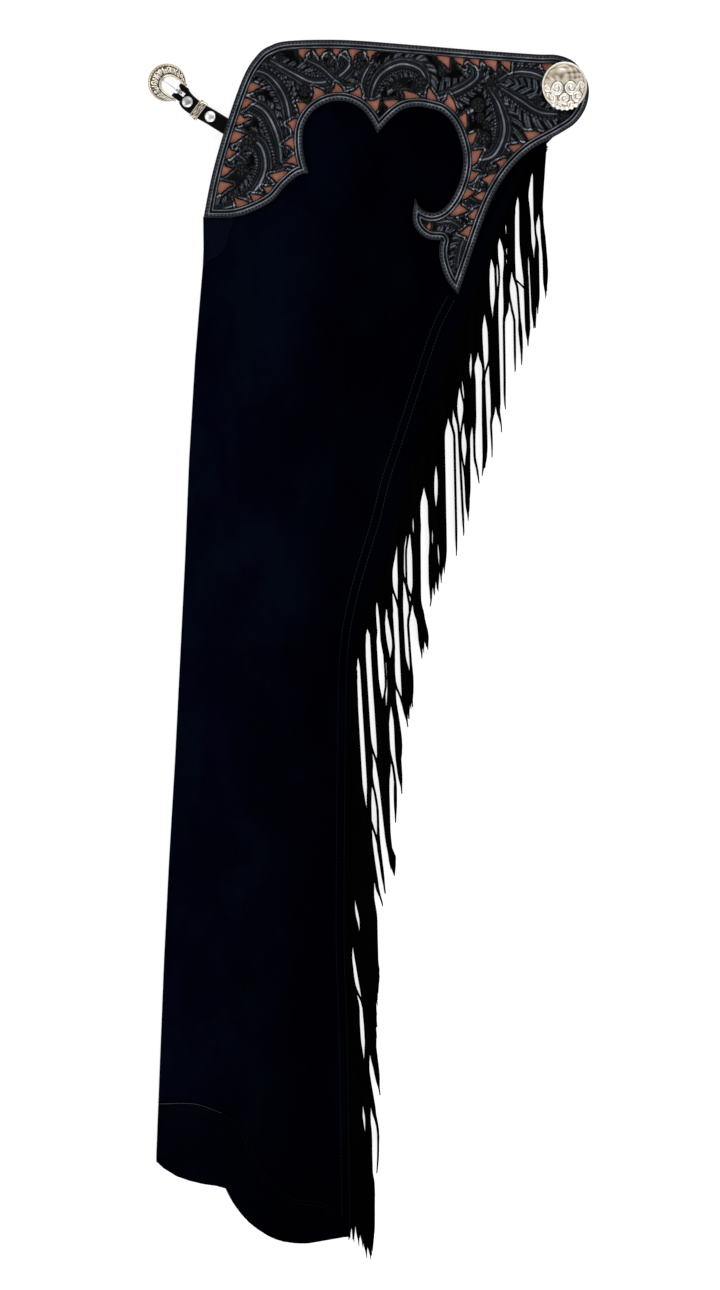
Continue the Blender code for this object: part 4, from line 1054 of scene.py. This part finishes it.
def leg_point(kind, f, angle, y, hem_share):
    """A point on the middle of the suede from its column, its height and its share of the hem."""
    edge_rows = LEFT_FOLD if y < FRONT_CORNER else NEAR_FRONT_EDGE
    seam_rows = SEAM if y < SEAM[0][0] else [(h, x - NEAR_TO_SEAM) for h, x in NEAR_BACK_EDGE]
    reach = FAR_TO_SEAM if kind == "far" else NEAR_TO_SEAM
    radius = (NEAR_MIDDLE - FAR_MIDDLE) / 2

    def place(height):
        left = table(edge_rows, height) + SUEDE / 2 + radius
        return left + (table(seam_rows, height) + reach - left) * f

    x = place(y)
    if hem_share > 0:
        start = y
        share = {"far": 0.0, "near": 1.0}.get(kind, (angle + 90) / 180)
        for _ in range(4):
            hem = table(FAR_HEM, x) * (1 - share) + table(NEAR_HEM, x) * share
            y = start + (hem - start) * hem_share
            x = place(y)
    if kind == "fold":
        a = math.radians(angle)
        return (x - radius * math.cos(a), y, (NEAR_MIDDLE + FAR_MIDDLE) / 2 + radius * math.sin(a))
    if kind == "near":
        return (x, y, NEAR_MIDDLE + fold_height(x, y) * ease(0.0, 0.07, f) * ease(0.0, 0.06, 1 - f))
    return (x, y, FAR_MIDDLE)


def make_leg():
    """Near layer, front fold and far layer in one sheet of suede."""
    columns = [("far", f, 0.0) for f in np.linspace(1.0, 0.03, 14)]
    columns += [("fold", 0.0, angle) for angle in (*range(-90, 91, 22), 90)]
    columns += [("near", f, 0.0) for f in np.linspace(0.02, 1.0, 44)]
    heights = [*np.linspace(LEG_TOP, CROTCH, 20), *np.linspace(CROTCH, HEM_START, 86)[1:]]
    rows = [(y, 0.0) for y in heights] + [(HEM_START, s) for s in np.linspace(0, 1, 15)[1:]]
    points = np.array([leg_point(*column, *row) for row in rows for column in columns])
    count = len(columns)
    faces = []
    for r, (y, _) in enumerate(rows[:-1]):
        for c in range(count - 1):
            if y < CROTCH + 0.1 or columns[c][0] == "near":
                a = r * count + c
                faces.append((a + 1, a + count + 1, a + count, a))
    used, faces = np.unique(faces, return_inverse=True)
    piece = add_piece("suede_leg", points[used], faces.reshape(-1, 4), SUEDE_BLACK)
    add_wall(piece, SUEDE)
    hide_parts("leg_panel")
    return piece


def face_up(edit):
    """Turns a sheet's faces one way, and up."""
    turn_outward(edit)
    if sum(face.normal.z for face in edit.faces) < 0:
        bmesh.ops.reverse_faces(edit, faces=edit.faces)


def ruled_panel(name, first, second, across, height_of, thickness, finish, replaced):
    """A thin panel between two edges, lying on what height_of gives."""
    count = 180
    a, b = (resample(edge, count)[0] for edge in (first, second))
    places = np.vstack([a + (b - a) * share for share in np.linspace(0, 1, across)])
    points = [(x, y, height_of(x, y)) for x, y in places]
    piece = add_piece(name, points, grid_faces(across, count), finish)
    edit_mesh(piece, face_up)
    add_wall(piece, thickness, 1.0)
    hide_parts(replaced)
    return piece


def near_top(x, y):
    return NEAR_MIDDLE + SUEDE / 2 + fold_height(x, y)


def trim_height(x, y):
    return TRIM_BOTTOM + 0.05 + max(0.0, fold_height(x, y)) * 0.6


def trim_top(x, y):
    return trim_height(x, y) + TRIM_THICKNESS


def make_hem_band():
    hem = smooth(NEAR_HEM, 4) + (0.0, 0.4)
    hem[:, 0] = np.clip(hem[:, 0], *HEM_BAND_ENDS)
    return ruled_panel("hem_facing", smooth(BAND_TOP, 4), hem, 12, trim_height, TRIM_THICKNESS,
                       SUEDE_BAND, "hem_band")


def make_facing():
    return ruled_panel("corner_facing", FACING_OUTER, smooth(FACING_INNER, 4), 8, trim_height,
                       TRIM_THICKNESS, SUEDE_TRIM, "front_facing")


def beside_root(outward, steps=4):
    """The fringe's root line, moved outward by a distance."""
    return beside(smooth(FRINGE_ROOT, steps), outward)


def make_flap():
    right = np.vstack([(145.9, 419.6), beside_root(-STRIP_HALF_WIDTH + 1.0), (-17.0, FLAP_END_Y)])
    left = FLAP_TOP + [(x + FLAP_TO_SEAM, y) for y, x in SEAM if y > FLAP_END_Y] + [(-22.4, FLAP_END_Y)]
    return ruled_panel("zip_flap", right, left, 5, lambda x, y: FLAP_BOTTOM, FLAP_THICKNESS, SUEDE_BLACK,
                       "seam_flap")


def make_hidden_leg():
    """The leg underneath: a folded pair of layers with rounded edges."""
    fold = [(x, y) for y, x in LEFT_FOLD[::-1]]
    above_tab = YOKE_FRONT_TO_SPEAR[:-6]
    outline = np.vstack([smooth(above_tab, 3), beside_root(0.2, 3), smooth(HIDDEN_HEM, 3),
                         smooth(fold, 3)])
    inward, behind = corner_directions(outline)
    inward /= np.clip((inward * behind).sum(axis=1), 0.6, 1.0)[:, None]
    points = [(*p, z) for z, inset in HIDDEN_EDGE for p in outline + inward * inset]
    piece = add_piece("under_leg", points, stacked_faces(len(HIDDEN_EDGE), len(outline)), SUEDE_BLACK,
                      hard=50)
    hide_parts("hidden_leg")
    return piece


def stitch_row(points, faces, line, height_of, stitch):
    """Stitches along a line."""
    count = int(run_along(line)[-1] / ROW_PITCH)
    even, tangent, _ = resample(line, count * 4 + 1)
    for middle, along in zip(even[2::4], tangent[2::4]):
        add_stitch(points, faces, middle, along, height_of(*middle), *stitch)


def make_seam_stitches():
    points, faces = [], []
    middle = smooth(from_photo(SEAM_STITCHES), 6)
    for offset in (-SEAM_HALF_WIDTH, SEAM_HALF_WIDTH):
        stitch_row(points, faces, beside(middle, offset), near_top, SEAM_STITCH)
    piece = add_piece("seam_stitches", points, faces, SEAM_THREAD)


def make_hem_cut_edge():
    """The bare cut edge of the hem's facing: thick at the fold, lost to the right."""
    line = smooth(BAND_TOP, 6)
    path = [(x, y + 0.2, trim_top(x, y) - 0.15) for x, y in line[line[:, 0] < CUT_EDGE_END]]
    points, faces = [], []
    tube(points, faces, path, np.linspace(0.36, 0.10, len(path)))
    piece = add_piece("hem_cut_edge", points, faces, CUT_EDGE)


def make_hem_stitches():
    points, faces = [], []
    for inset in HEM_STITCH_INSETS:
        line = beside(smooth(BAND_TOP, 4), -inset)
        stitch_row(points, faces, line[2:-4], trim_top, HEM_STITCH)
    piece = add_piece("hem_stitches", points, faces, HEM_THREAD)


# Fringe

def slit_room(y, slit, half):
    """A slit's middle at each height, half its opening, and how far a strand keeps from it."""
    top, low, wide, stays_open = slit
    middle = top[0] + (low[0] - top[0]) * np.clip((top[1] - y) / (top[1] - low[1]), 0, 1)
    opening = wide / 2 * ease(0.0, 7.0, top[1] - y)
    reach = ease(-24.0, 0.0, top[1] - y)
    if stays_open:
        reach *= ease(-50.0, -15.0, y - low[1])
    else:
        opening *= ease(0.0, 7.0, y - low[1])
        reach *= ease(-24.0, 0.0, y - low[1])
    return middle, opening, half * reach + opening


def place_at(rows, y):
    """Place at each height along a line given as height and place in pixels."""
    return table([(height, place) for place, height in from_photo([row[::-1] for row in rows])], y)


def soften(row):
    """Evens out a row of numbers, apart from its ends."""
    row[1:-1] = (row[:-2] + 2 * row[1:-1] + row[2:]) / 4


def part_strand(path, half):
    """Moves a strand out of the slits and inside the free edge; gives its half width seen from above."""
    x, y = path[:, 0].copy(), path[:, 1]
    slits = []
    for top_x, top_y, low_x, low_y, wide, stays_open in FRINGE_SLITS:
        top, low = from_photo([(top_x, top_y), (low_x, low_y)])
        within = (y < top[1]) & (y > low[1])
        if within.sum() > 1:
            from_root = y[0] - top[1] < SLIT_AT_ROOT
            to_side = (x[0] + 0.8 if from_root else x[within][0]) - top[0]
            slits.append(((top, low, wide * PIXEL, stays_open), 1.0 if to_side > 0 else -1.0))
    free = ease(0.01, 0.10, np.linspace(0, 1, len(path)))
    side_foot = (PHOTO_CENTRE[1] - FRINGE_SIDE[-1][0]) * PIXEL
    limit = np.where(y < side_foot, np.inf, place_at(FRINGE_SIDE, y))
    for _ in range(5):
        for slit, side in slits:
            middle, _, keep = slit_room(y, slit, half)
            push = np.maximum(0, keep - (x - middle) * side) * np.minimum(1, keep / half)
            x += side * push * free
        x -= np.maximum(0, x - limit + half) * ease(0.0, 0.03, free)
        soften(x)
    shown = np.minimum(half, limit - x + 0.3)
    for slit, side in slits:
        middle, opening, keep = slit_room(y, slit, half)
        room = (x - middle) * side - opening
        shown = np.where(keep > half * 0.8, np.minimum(shown, room), shown)
    shown = np.clip(shown, 0.5, half)
    soften(shown)
    path[:, 0] = x
    return shown


def end_strand(path, shown, short):
    """Ends a strand where it reaches the line of the tips, or a little above it."""
    over = np.nonzero(path[:, 0] + 0.6 * shown > place_at(FRINGE_TIPS, path[:, 1]))[0]
    over = over[over > 8]
    if not len(over):
        return path, shown
    run = run_along(path)
    at = np.linspace(0, max(run[over[0]] - short, 40.0), len(path))
    return points_at(path, run, at), np.interp(at, run, shown)


def strand_path(root, outward, length, wave_size, phase, lean, kept):
    """Middle line of a strand: out of the strip, round, and down with its lean."""
    heading = math.atan2(outward[1], outward[0])
    x, y = root
    path = [(x, y)]
    step_length = length / STRAND_STEPS
    for k in range(STRAND_STEPS):
        s = k * step_length
        down = -math.pi / 2 + math.radians((table(STRAND_LEAN, y) + lean) * kept)
        down += wave_size * math.sin(TURN * s / 68.0 + phase)
        angle = down + (heading - down) * math.exp(-s / 1.8)
        x += math.cos(angle) * step_length
        y += math.sin(angle) * step_length
        path.append((x, y))
    return np.array(path)


def add_bar(points, faces, sections):
    """Adds a bar from its sections of four corners each."""
    start = len(points)
    for section in sections:
        points.extend(section)
    loft(faces, len(sections), 4, start)


def add_strand(points, faces, path, shown, half, root_height, level, twist, twist_start):
    """One strand of suede as a flat bar with a pointed tip, turned where it has little room."""
    count = 30
    at = np.linspace(0, len(path) - 1, count)
    steps = np.arange(len(path))
    centres = points_at(path, steps, at)
    run = np.linalg.norm(np.diff(centres, axis=0), axis=1).sum()
    sections = []
    for k, (centre, across, room) in enumerate(zip(
            centres, to_right(unit(np.gradient(centres, axis=0))), np.interp(at, steps, shown))):
        t = k / (count - 1)
        wide = half * (1.0 - 0.12 * t) + ROOT_FLARE * (1 - ease(0.03, 0.10, t))
        angle = abs(twist) * ease(twist_start, min(1.0, twist_start + 0.2), t)
        narrow = math.acos(min(1.0, room / half)) * ease(0.05, 0.14, t)
        angle = math.copysign(max(angle, narrow), twist)
        wide *= 0.10 + 0.90 * ease(0.0, TIP_TAPER, run * (1 - t))
        z = root_height + (level - root_height) * ease(0.0, 0.10, t)
        z = max(z, 0.5 + wide * abs(math.sin(angle)) + 0.3)
        flat = np.array([*(across * math.cos(angle)), math.sin(angle)]) * wide
        thick = np.array([*(-across * math.sin(angle)), math.cos(angle)]) * STRAND_HALF_THICKNESS
        middle = np.array([*centre, z])
        sections.append([middle + flat * a + thick * b for a, b in ((-1, -1), (1, -1), (1, 1), (-1, 1))])
    add_bar(points, faces, sections)


def make_fringe(name, pitch, replaced, strip_heights, levels, lowest, seed, width):
    """Strands of suede that leave a narrow strip, hang in clumps, twist and end in points."""
    dice = random.Random(seed)
    line, tangent, run = resample(smooth(FRINGE_ROOT, 6), 1600)
    count = int(run / pitch)
    low, high = strip_heights
    root_height = (low + high) / 2
    points, faces = [], []
    for i in range(count):
        at = int((i + 0.6) / count * (len(line) - 1))
        outward = -to_right(tangent)[at]
        root_y = line[at][1]
        length = table(STRAND_LENGTH, root_y) * (1.0 + dice.uniform(-0.08, 0.015))
        step = levels - 1 - i % levels
        kept = 1.0
        if root_y < PLUMB_BELOW and (i % 2 or levels == 2):
            kept = table(LEAN_KEPT, root_y)
            length = min(length, root_y - PLUMB_FOOT + dice.uniform(-3.0, 3.0))
            step = min(step, 2)
        length = min(length, (root_y - FRINGE_FOOT) / 0.99 + dice.uniform(-2.0, 1.0))
        path = strand_path(line[at] - outward * 0.6, outward, length,
                           math.radians(dice.uniform(0.3, 1.6)), dice.uniform(0, 6.28),
                           dice.uniform(-0.9, 1.1), kept)
        path[:, 0] -= 1.6 * (1 - kept) * ease(0.0, 0.1, np.linspace(0, 1, len(path)))
        shown = part_strand(path, width / 2)
        path, shown = end_strand(path, shown, dice.uniform(0.0, 9.0))
        level = lowest + step * LEVEL_STEP + 0.5 + dice.uniform(-0.12, 0.12)
        twist = math.radians(dice.choice([5, 5, 12, 25, 60])) * dice.choice([-1, 1])
        add_strand(points, faces, path, shown, width / 2, root_height, level, twist,
                   dice.uniform(0.3, 0.9))
    for i, (root_row, tip_x, tip_row, half) in enumerate(PLACED_STRANDS if levels > 2 else []):
        (_, root_y), tip = np.array(from_photo([(tip_x, root_row), (tip_x, tip_row)]))
        root = line[np.argmin(abs(line[:, 1] - root_y))]
        path = root + (tip - root) * np.linspace(0, 1, STRAND_STEPS + 1)[:, None]
        shown = part_strand(path, half)
        level = lowest + (i % 3) * LEVEL_STEP + 1.1
        add_strand(points, faces, path, shown, half, root_height, level, 0.06, 0.5)
    add_bar(points, faces, [[(*p, low), (*q, low), (*q, high), (*p, high)] for p, q in zip(
        beside_root(STRIP_HALF_WIDTH), beside_root(-STRIP_HALF_WIDTH))])
    piece = add_piece(name, points, faces, SUEDE_FRINGE, outward=True, hard=40)
    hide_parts(replaced)


# Concho, buckle, keeper, snaps and strap

def dome_faces(rings, spokes):
    """Faces of a point, rings of points round it and a flat end."""
    last = 1 + (rings - 1) * spokes
    fan = [(0, 1 + k, 1 + (k + 1) % spokes) for k in range(spokes)]
    return fan + grid_faces(rings, spokes, wrap=True, start=1) + [tuple(range(last, last + spokes))]


def curl_relief(x, y, cx, cy, size, hand, start):
    """A C-scroll's raised stroke, which winds in to a ball, and the groove round it."""
    dx, dy = (x - cx) / size, (y - cy) / size
    r = math.hypot(dx, dy)
    if r > 1.5:
        return 0.0, 0.0
    a = (math.atan2(dy, dx) * hand - start) % TURN
    ridge = 0.92 - 0.085 * a
    ends = ease(0.0, 0.5, a) * ease(0.0, 0.5, TURN - a)
    groove = ends * (bump(r, ridge + 0.34, 0.10) + bump(r, ridge - 0.32, 0.09))
    return ends * bump(r, ridge, 0.20) + bump(r, 0, 0.20), groove


def concho_relief(x, y, r):
    """Height of the concho's engraving: scrolls below, faint leaves above, beads' seat and rim."""
    if r > 0.90:
        return 0.35 * bump(r, 0.955, 0.035) + 0.05
    below = ease(-0.42, 0.02, -y)
    stroke, groove = (max(found) for found in zip(*(curl_relief(x, y, *curl) for curl in CURLS)))
    scrolls = 0.34 + 0.45 * stroke - 1.25 * groove * (1 - stroke)
    turn = math.atan2(y + 0.25, x)
    leaf = math.cos(7 * turn + 4 * math.sin(3.1 * r + x)) * math.cos(9 * r + 3 * math.sin(2 * turn + 1))
    leaves = 0.30 * leaf + 0.16 * math.cos(13 * x + 6 * math.sin(5 * y + 2 * x)) + 0.02
    return scrolls * below + leaves * (1 - below) - 0.50 * bump(r, 0.885, 0.022)


def make_concho():
    """An engraved oval dome, with a few beads on the lower part of its rim."""
    rings, spokes = 46, 150
    (cx, cy), (rx, ry) = CONCHO_CENTRE, CONCHO_RADII
    spots = [(0.0, 0.0, 0.0)]
    for r in np.arange(1, rings + 1) / rings:
        spots += [(r * math.cos(a), r * math.sin(a), r) for a in turns(spokes)]
    tone = [concho_relief(*spot) for spot in spots]
    points = [(cx + rx * x, cy + ry * y, CONCHO_BOTTOM + 1.0 + 2.2 * (1 - 0.55 * r * r) + 0.55 * height)
              for (x, y, r), height in zip(spots, tone)]
    points += [(x, y, CONCHO_BOTTOM) for x, y, _ in points[-spokes:]]
    tones = list(np.clip(0.46 + 0.95 * np.array(tone + tone[-spokes:]), 0, 1))
    faces = [face[::-1] for face in dome_faces(rings + 1, spokes)]
    for k in range(CONCHO_BEADS):
        a = math.radians(270 + (k - (CONCHO_BEADS - 1) / 2) * 12.5)
        add_bead(points, faces, (cx + 0.96 * rx * math.cos(a), cy + 0.96 * ry * math.sin(a),
                                 CONCHO_BOTTOM + 2.0), 1.9)
    tones += [0.8] * (len(points) - len(tones))
    piece = add_piece("engraved_concho", points, faces, CONCHO_SILVER, tone=tones, outward=True)
    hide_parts("concho")


def add_bead(points, faces, centre, radius, rings=6, spokes=10):
    start = len(points)
    for a in np.arange(1, rings) * math.pi / rings:
        for b in turns(spokes):
            ray = np.array([math.sin(a) * math.cos(b), math.sin(a) * math.sin(b), math.cos(a)])
            points.append(centre + radius * ray)
    faces.extend(grid_faces(rings - 1, spokes, wrap=True, start=start))
    top, last = len(points), len(points) - spokes
    points += [centre + np.array([0, 0, radius]), centre - np.array([0, 0, radius])]
    for k in range(spokes):
        j = (k + 1) % spokes
        faces += [(top, start + k, start + j), (top + 1, last + j, last + k)]


def placed(points, heading, slope):
    """Points given from the buckle's bar, turned to a heading and sloped, in degrees."""
    turn = Matrix.Rotation(math.radians(heading), 4, "Z") @ Matrix.Rotation(math.radians(slope), 4, "Y")
    return np.array(points, float) @ np.array(turn.to_3x3()).T + (*BUCKLE_BAR, BAR_HEIGHT)


def on_strap(points):
    return placed(points, STRAP_HEADING, -STRAP_CLIMB)


def on_frame(points):
    return placed(points, STRAP_HEADING + 180, RING_DROOP)


def arc(centre, radius, first, last, count):
    """Points on a circle round a place on the middle line, between two angles."""
    angles = np.linspace(first, last, count)
    return [(centre + radius * math.cos(a), radius * math.sin(a)) for a in angles]


def ring_edges():
    """Inner and outer edge of the horseshoe, from one cheek to the other."""
    half_chord = math.sqrt(RING_RADIUS ** 2 - RING_CENTRE ** 2)
    start = math.atan2(half_chord, -RING_CENTRE)
    outer = [(-2.0, half_chord - 0.5), *arc(RING_CENTRE, RING_RADIUS, start, -start, 33),
             (-2.0, 0.5 - half_chord)]
    cheek = [(-2.0, CHEEK_INNER), (0.0, CHEEK_INNER), (5.0, OPENING_RADIUS + 0.2)]
    round_end = arc(OPENING_CENTRE, OPENING_RADIUS, math.pi / 2, -math.pi / 2, 25)
    return cheek + round_end + [(x, -y) for x, y in cheek[::-1]], outer


def ring_relief(share, run):
    """Height of the buckle's top: beaded edges, and scrolls between them."""
    beads = 0.13 * bump(share, 0.86, 0.07) * (0.20 + 0.80 * math.cos(TURN * run / 2.6))
    rope = 0.30 * bump(share, 0.10, 0.08) * wave(TURN * run / 2.2)
    number = math.floor(run / RING_CURL_PITCH)
    along = (run / RING_CURL_PITCH - number - 0.5) * RING_CURL_PITCH / 2.6
    hand = 1 - 2 * (number % 2)
    stroke, cut = curl_relief(along, (share - 0.47) * 2.3, 0, 0, 1, hand, 0.7 * number)
    scroll = 0.45 * stroke - 0.55 * cut * (1 - stroke) - 0.08
    groove = -0.45 * bump(share, 0.76, 0.045) - 0.3 * bump(share, 0.22, 0.04)
    return beads + rope + scroll * (0.25 < share < 0.78) + groove


def make_buckle():
    """The engraved ring and its plain bar."""
    count, across = 220, 26
    a, (b, _, run) = (resample(edge, count) for edge in ring_edges())
    points, tone = [], []
    for i, (p, q) in enumerate(zip(a[0], b)):
        swell = 0.85 if np.abs(p - q).sum() > 5 else 0.7
        level = 0.35 if p[0] > 1.0 else -0.6
        for share in np.linspace(0, 1, across):
            crown = 0.9 + 1.25 * math.sin(math.pi * min(1.0, share * 1.05)) ** 0.6
            r = ring_relief(share, run * i / count)
            edge = share in (0, 1)
            x, y = p + (q - p) * share
            points.append((x, y, 0.2 if edge else crown * swell + level * 0.5 + r * 0.42))
            tone.append(0.3 if edge else np.clip(0.40 + 2.2 * r * ease(1.0, 0.86, share), 0, 1))
        points += [(*q, -1.3), (*p, -1.3)]
        tone += [0.2, 0.2]
    faces = []
    loft(faces, count, across + 2, flip=True)
    tube(points, faces, [(0.0, k * 0.81 - CHEEK_INNER - 0.8, 0.0) for k in range(21)], 1.3, sides=16)
    tone += [0.6] * (len(points) - len(tone))
    piece = add_piece("silver_buckle", on_frame(points), faces, SILVER, body="buckle", tone=tone,
                      outward=True, hard=60)
    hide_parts("buckle_frame")


def make_tongue():
    """A bar that bends up over the ring, on a sleeve that turns on the buckle's bar."""
    rows = smooth(TONGUE_MIDDLE, 4)
    points, faces = [], []
    sides = 10
    for x, z, w, h in rows:
        points += [(x, w * math.cos(a), z + h * math.sin(a)) for a in turns(sides)]
    loft(faces, len(rows), sides)
    start = len(points)
    inner, outer = SLEEVE_RADII
    for k, a in enumerate(turns(SLEEVE_SIDES)):
        here, ahead = start + 4 * k, start + 4 * ((k + 1) % SLEEVE_SIDES)
        for j, (radius, y) in enumerate(((inner, -0.95), (outer, -0.95), (outer, 0.95), (inner, 0.95))):
            m = (j + 1) % 4
            points.append((radius * math.cos(a), y, radius * math.sin(a)))
            faces.append((here + j, here + m, ahead + m, ahead + j))
    # Painted light: the middle is painted bright as a highlight and the tip dark as its shadow; the sleeve
    # is darker.
    tones = [0.30 if x > 15.5 else 0.85 if x > 3.0 else 0.36 for x, _, _ in points]
    piece = add_piece("steel_tongue", on_frame(points), faces, STEEL, body="tongue", tone=tones,
                      outward=True, hard=40)
    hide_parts("buckle_tongue")


def make_snaps():
    """Domed heads with a step near the rim."""
    spokes = 48
    (_, top), *profile = SNAP_PROFILE
    for name, s, t, middle, change, angle in SNAPS:
        points = [(s, t, SNAP_SEAT + top)]
        tone = [middle]
        for share, height in smooth(profile, 3):
            reach = SNAP_RADIUS * share
            for a in turns(spokes):
                points.append((s + reach * math.cos(a), t + reach * math.sin(a), SNAP_SEAT + height))
                # Painted light: the rim towards the angle is painted lighter as a highlight where the
                # change is above 0, and darker as shade where it is below 0.
                facing = max(0.0, math.cos(a - math.radians(angle)))
                tone.append(middle + change * facing * ease(0.35, 0.95, share))
        faces = dome_faces(len(points) // spokes, spokes)
        piece = add_piece(name + "_dome", on_strap(points), faces, STEEL, tone=tone, outward=True)
        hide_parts(name)


def keeper_point(s, a, half_width, half_height, roundness):
    """A point of an oblong across the strap, whose roundness goes from 0, square, to 1, an ellipse."""
    across, up = (math.copysign(abs(v) ** roundness, v) for v in (math.cos(a), math.sin(a)))
    return (s, KEEPER_PLACE[1] + half_width * across, half_height * up)


def make_keeper():
    """A flat loop round the strap, engraved on its top."""
    around, along = 96, 17
    shares = np.linspace(0, 1, along)
    places = KEEPER_PLACE[0] + KEEPER_LENGTH * (shares - 0.5)
    points, tone = [], []
    for v, s in zip(shares, places):
        for a in turns(around):
            _, y, z = keeper_point(s, a, *KEEPER_OUTER)
            across = y - KEEPER_PLACE[1]
            r = 0.0
            if math.sin(a) > 0:
                edge = abs(v - 0.5)
                scroll = math.cos(across * 1.35 + 5 * math.sin(6.0 * v)) * math.exp(-(edge / 0.3) ** 4)
                r = (0.10 * bump(edge, 0.42, 0.05) * wave(across * 4.2) + 0.15 * scroll
                     - 0.12 * bump(edge, 0.33, 0.03))
            points.append((s, y, z + 0.7 * r))
            tone.append(np.clip(0.46 + 4.6 * r, 0, 1) if math.sin(a) > 0 else 0.5)
    faces = grid_faces(along, around, wrap=True)
    start, last = len(points), len(points) - around
    for s in places[[0, -1]]:
        points += [keeper_point(s, a, *KEEPER_INNER) for a in turns(around)]
    tone += [0.3] * (2 * around)
    for k in range(around):
        m = (k + 1) % around
        faces.append((k, start + k, start + m, m))
        faces.append((last + m, start + around + m, start + around + k, last + k))
        faces.append((start + k, start + around + k, start + around + m, start + m))
    piece = add_piece("keeper_loop", on_strap(points), faces, SILVER, tone=tone, outward=True,
                      hard=50)
    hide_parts("keeper")


def make_strap():
    """The strap: a flat leather tongue of two layers, looped round the bar and slotted."""
    rows = [row for row in smooth(STRAP_CENTRE, 8) if row[0] >= 5.3]
    points, tone, faces = [], [], []
    for s, t, half in rows:
        for share, z in STRAP_SECTION:
            points.append((s, t + half * share, z))
            # The rounded top edges are painted lighter as a highlight.
            tone.append(0.95 if abs(share) > 0.9 and z > 0.5 else 0.45)
    loft(faces, len(rows), len(STRAP_SECTION))
    for side in (-1, 1):
        add_prong(points, tone, faces, side)
    piece = add_piece("strap", on_strap(points), faces, STRAP, tone=tone, outward=True, hard=55)
    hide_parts("buckle_strap")


def add_prong(points, tone, faces, side):
    """One half of the strap's end: a tab with a rounded loop over the bar."""
    loop = arc(0.0, LOOP_RADIUS, math.radians(118), math.radians(118 + 13.55 * 18), 19)
    top = [(5.4, 1.5), (3.2, 1.75), (0.9, 2.5)]
    outline = top + [p for p in loop if p[0] < 0.6] + [(x, -z) for x, z in top[::-1]]
    inner, outer = (reach * side for reach in PRONG_REACH)
    bevel = 0.35 * side
    start = len(points)
    places = (inner, inner + bevel, (inner + outer) / 2, outer - bevel, outer)
    for y, shrink in zip(places, (0.12, 0, 0, 0, 0.12)):
        for x, z in outline:
            slant = max(0.0, 1.0 - x) / 4.3 * max(0.0, 1.0 - abs(y - inner) / 2.2) * PRONG_SLANT * side
            points.append((x + shrink * (x < 5), y + slant, z * (1 - shrink * 0.4)))
            # The tab's narrowed sides are painted lighter as a highlight.
            tone.append(0.85 if shrink else 0.5)
    loft(faces, len(places), len(outline), start, flip=True)


# Stage

def link(name, data):
    made = bpy.data.objects.new(name, data)
    bpy.context.scene.collection.objects.link(made)
    return made


def make_stage():
    """A pale table, a little below the part."""
    mesh = bpy.data.meshes.new("floor")
    size, low = 6.0, -0.0006
    mesh.from_pydata([(-size, -size, low), (size, -size, low), (size, size, low), (-size, size, low)],
                     [], [(0, 1, 2, 3)])
    made, tree, shader = new_material("floor_light_table", (0.35, 0.35, 0.35), 0.9, specular=0.0)
    tint = mix_colour(tree, noise(tree, 4.0, 2.0, 0.5), (0.34, 0.34, 0.34), (0.36, 0.36, 0.36))
    set_socket(tree, shader.inputs["Base Color"], tint)
    set_socket(tree, shader.inputs["Emission Color"], (1.0, 1.0, 1.0))
    set_socket(tree, shader.inputs["Emission Strength"], 0.80)
    mesh.materials.append(made)
    floor = link("floor", mesh)


def add_softbox(name, place, size, power):
    light = bpy.data.lights.new(name, "AREA")
    light.shape = "RECTANGLE"
    light.size, light.size_y = size
    light.energy = power
    lamp = link(name, light)
    lamp.location = place
    lamp.rotation_euler = (Vector((0.0, 0.1, 0.0)) - Vector(place)).to_track_quat("-Z", "Y").to_euler()


def make_light():
    """A sky that is dark straight above, and three softboxes."""
    world = bpy.data.worlds.new("studio")
    world.use_nodes = True
    tree = world.node_tree
    background = tree.nodes["Background"]
    split = tree.nodes.new("ShaderNodeSeparateXYZ")
    tree.links.new(tree.nodes.new("ShaderNodeTexCoord").outputs["Generated"], split.inputs[0])
    strength = spread(tree, split.outputs["Z"], 0.0, 1.0, 1.20, 0.12)
    set_socket(tree, background.inputs["Strength"], strength)
    set_socket(tree, background.inputs["Color"], (1.0, 1.0, 1.0))
    bpy.context.scene.world = world
    add_softbox("key", (0.5, -1.5, 1.35), (1.4, 1.2), 34.0)
    add_softbox("left", (-1.5, 0.4, 1.2), (1.2, 1.2), 12.0)
    add_softbox("back", (0.3, 1.7, 1.3), (1.2, 1.0), 12.0)


def make_camera():
    """A camera far above the photograph's middle, whose view spans the photograph's height."""
    width, height = PHOTO_SIZE
    away = 14.0
    lens = bpy.data.cameras.new("camera")
    lens.sensor_fit = "VERTICAL"
    lens.sensor_height = 36.0
    lens.lens = 36.0 * away / (height * PIXEL * MM)
    lens.clip_end = 100.0
    camera = link("camera", lens)
    (x, y), = from_photo([(width / 2, height / 2)])
    camera.location = (x * MM, y * MM, away + 0.008)
    bpy.context.scene.camera = camera
    bpy.context.scene.view_settings.view_transform = "Standard"


make_camera()
make_stage()
make_light()
under_leg = make_hidden_leg()
leg = make_leg()
band = make_hem_band()
facing = make_facing()
flap = make_flap()
make_seam_stitches()
make_hem_stitches()
make_hem_cut_edge()
inlay = make_inlay()
overlay = make_yoke_overlay()
make_yoke_stitches()
make_fringe("under_fringe", 14.0, "hidden_fringe", HIDDEN_STRIP_HEIGHTS, 2, 0.5, 7, 5.0)
make_fringe("suede_fringe", STRAND_PITCH, "fringe", STRIP_HEIGHTS, 5, 3.1, 3, STRAND_WIDTH)
make_concho()
make_strap()
make_snaps()
make_keeper()
make_buckle()
make_tongue()
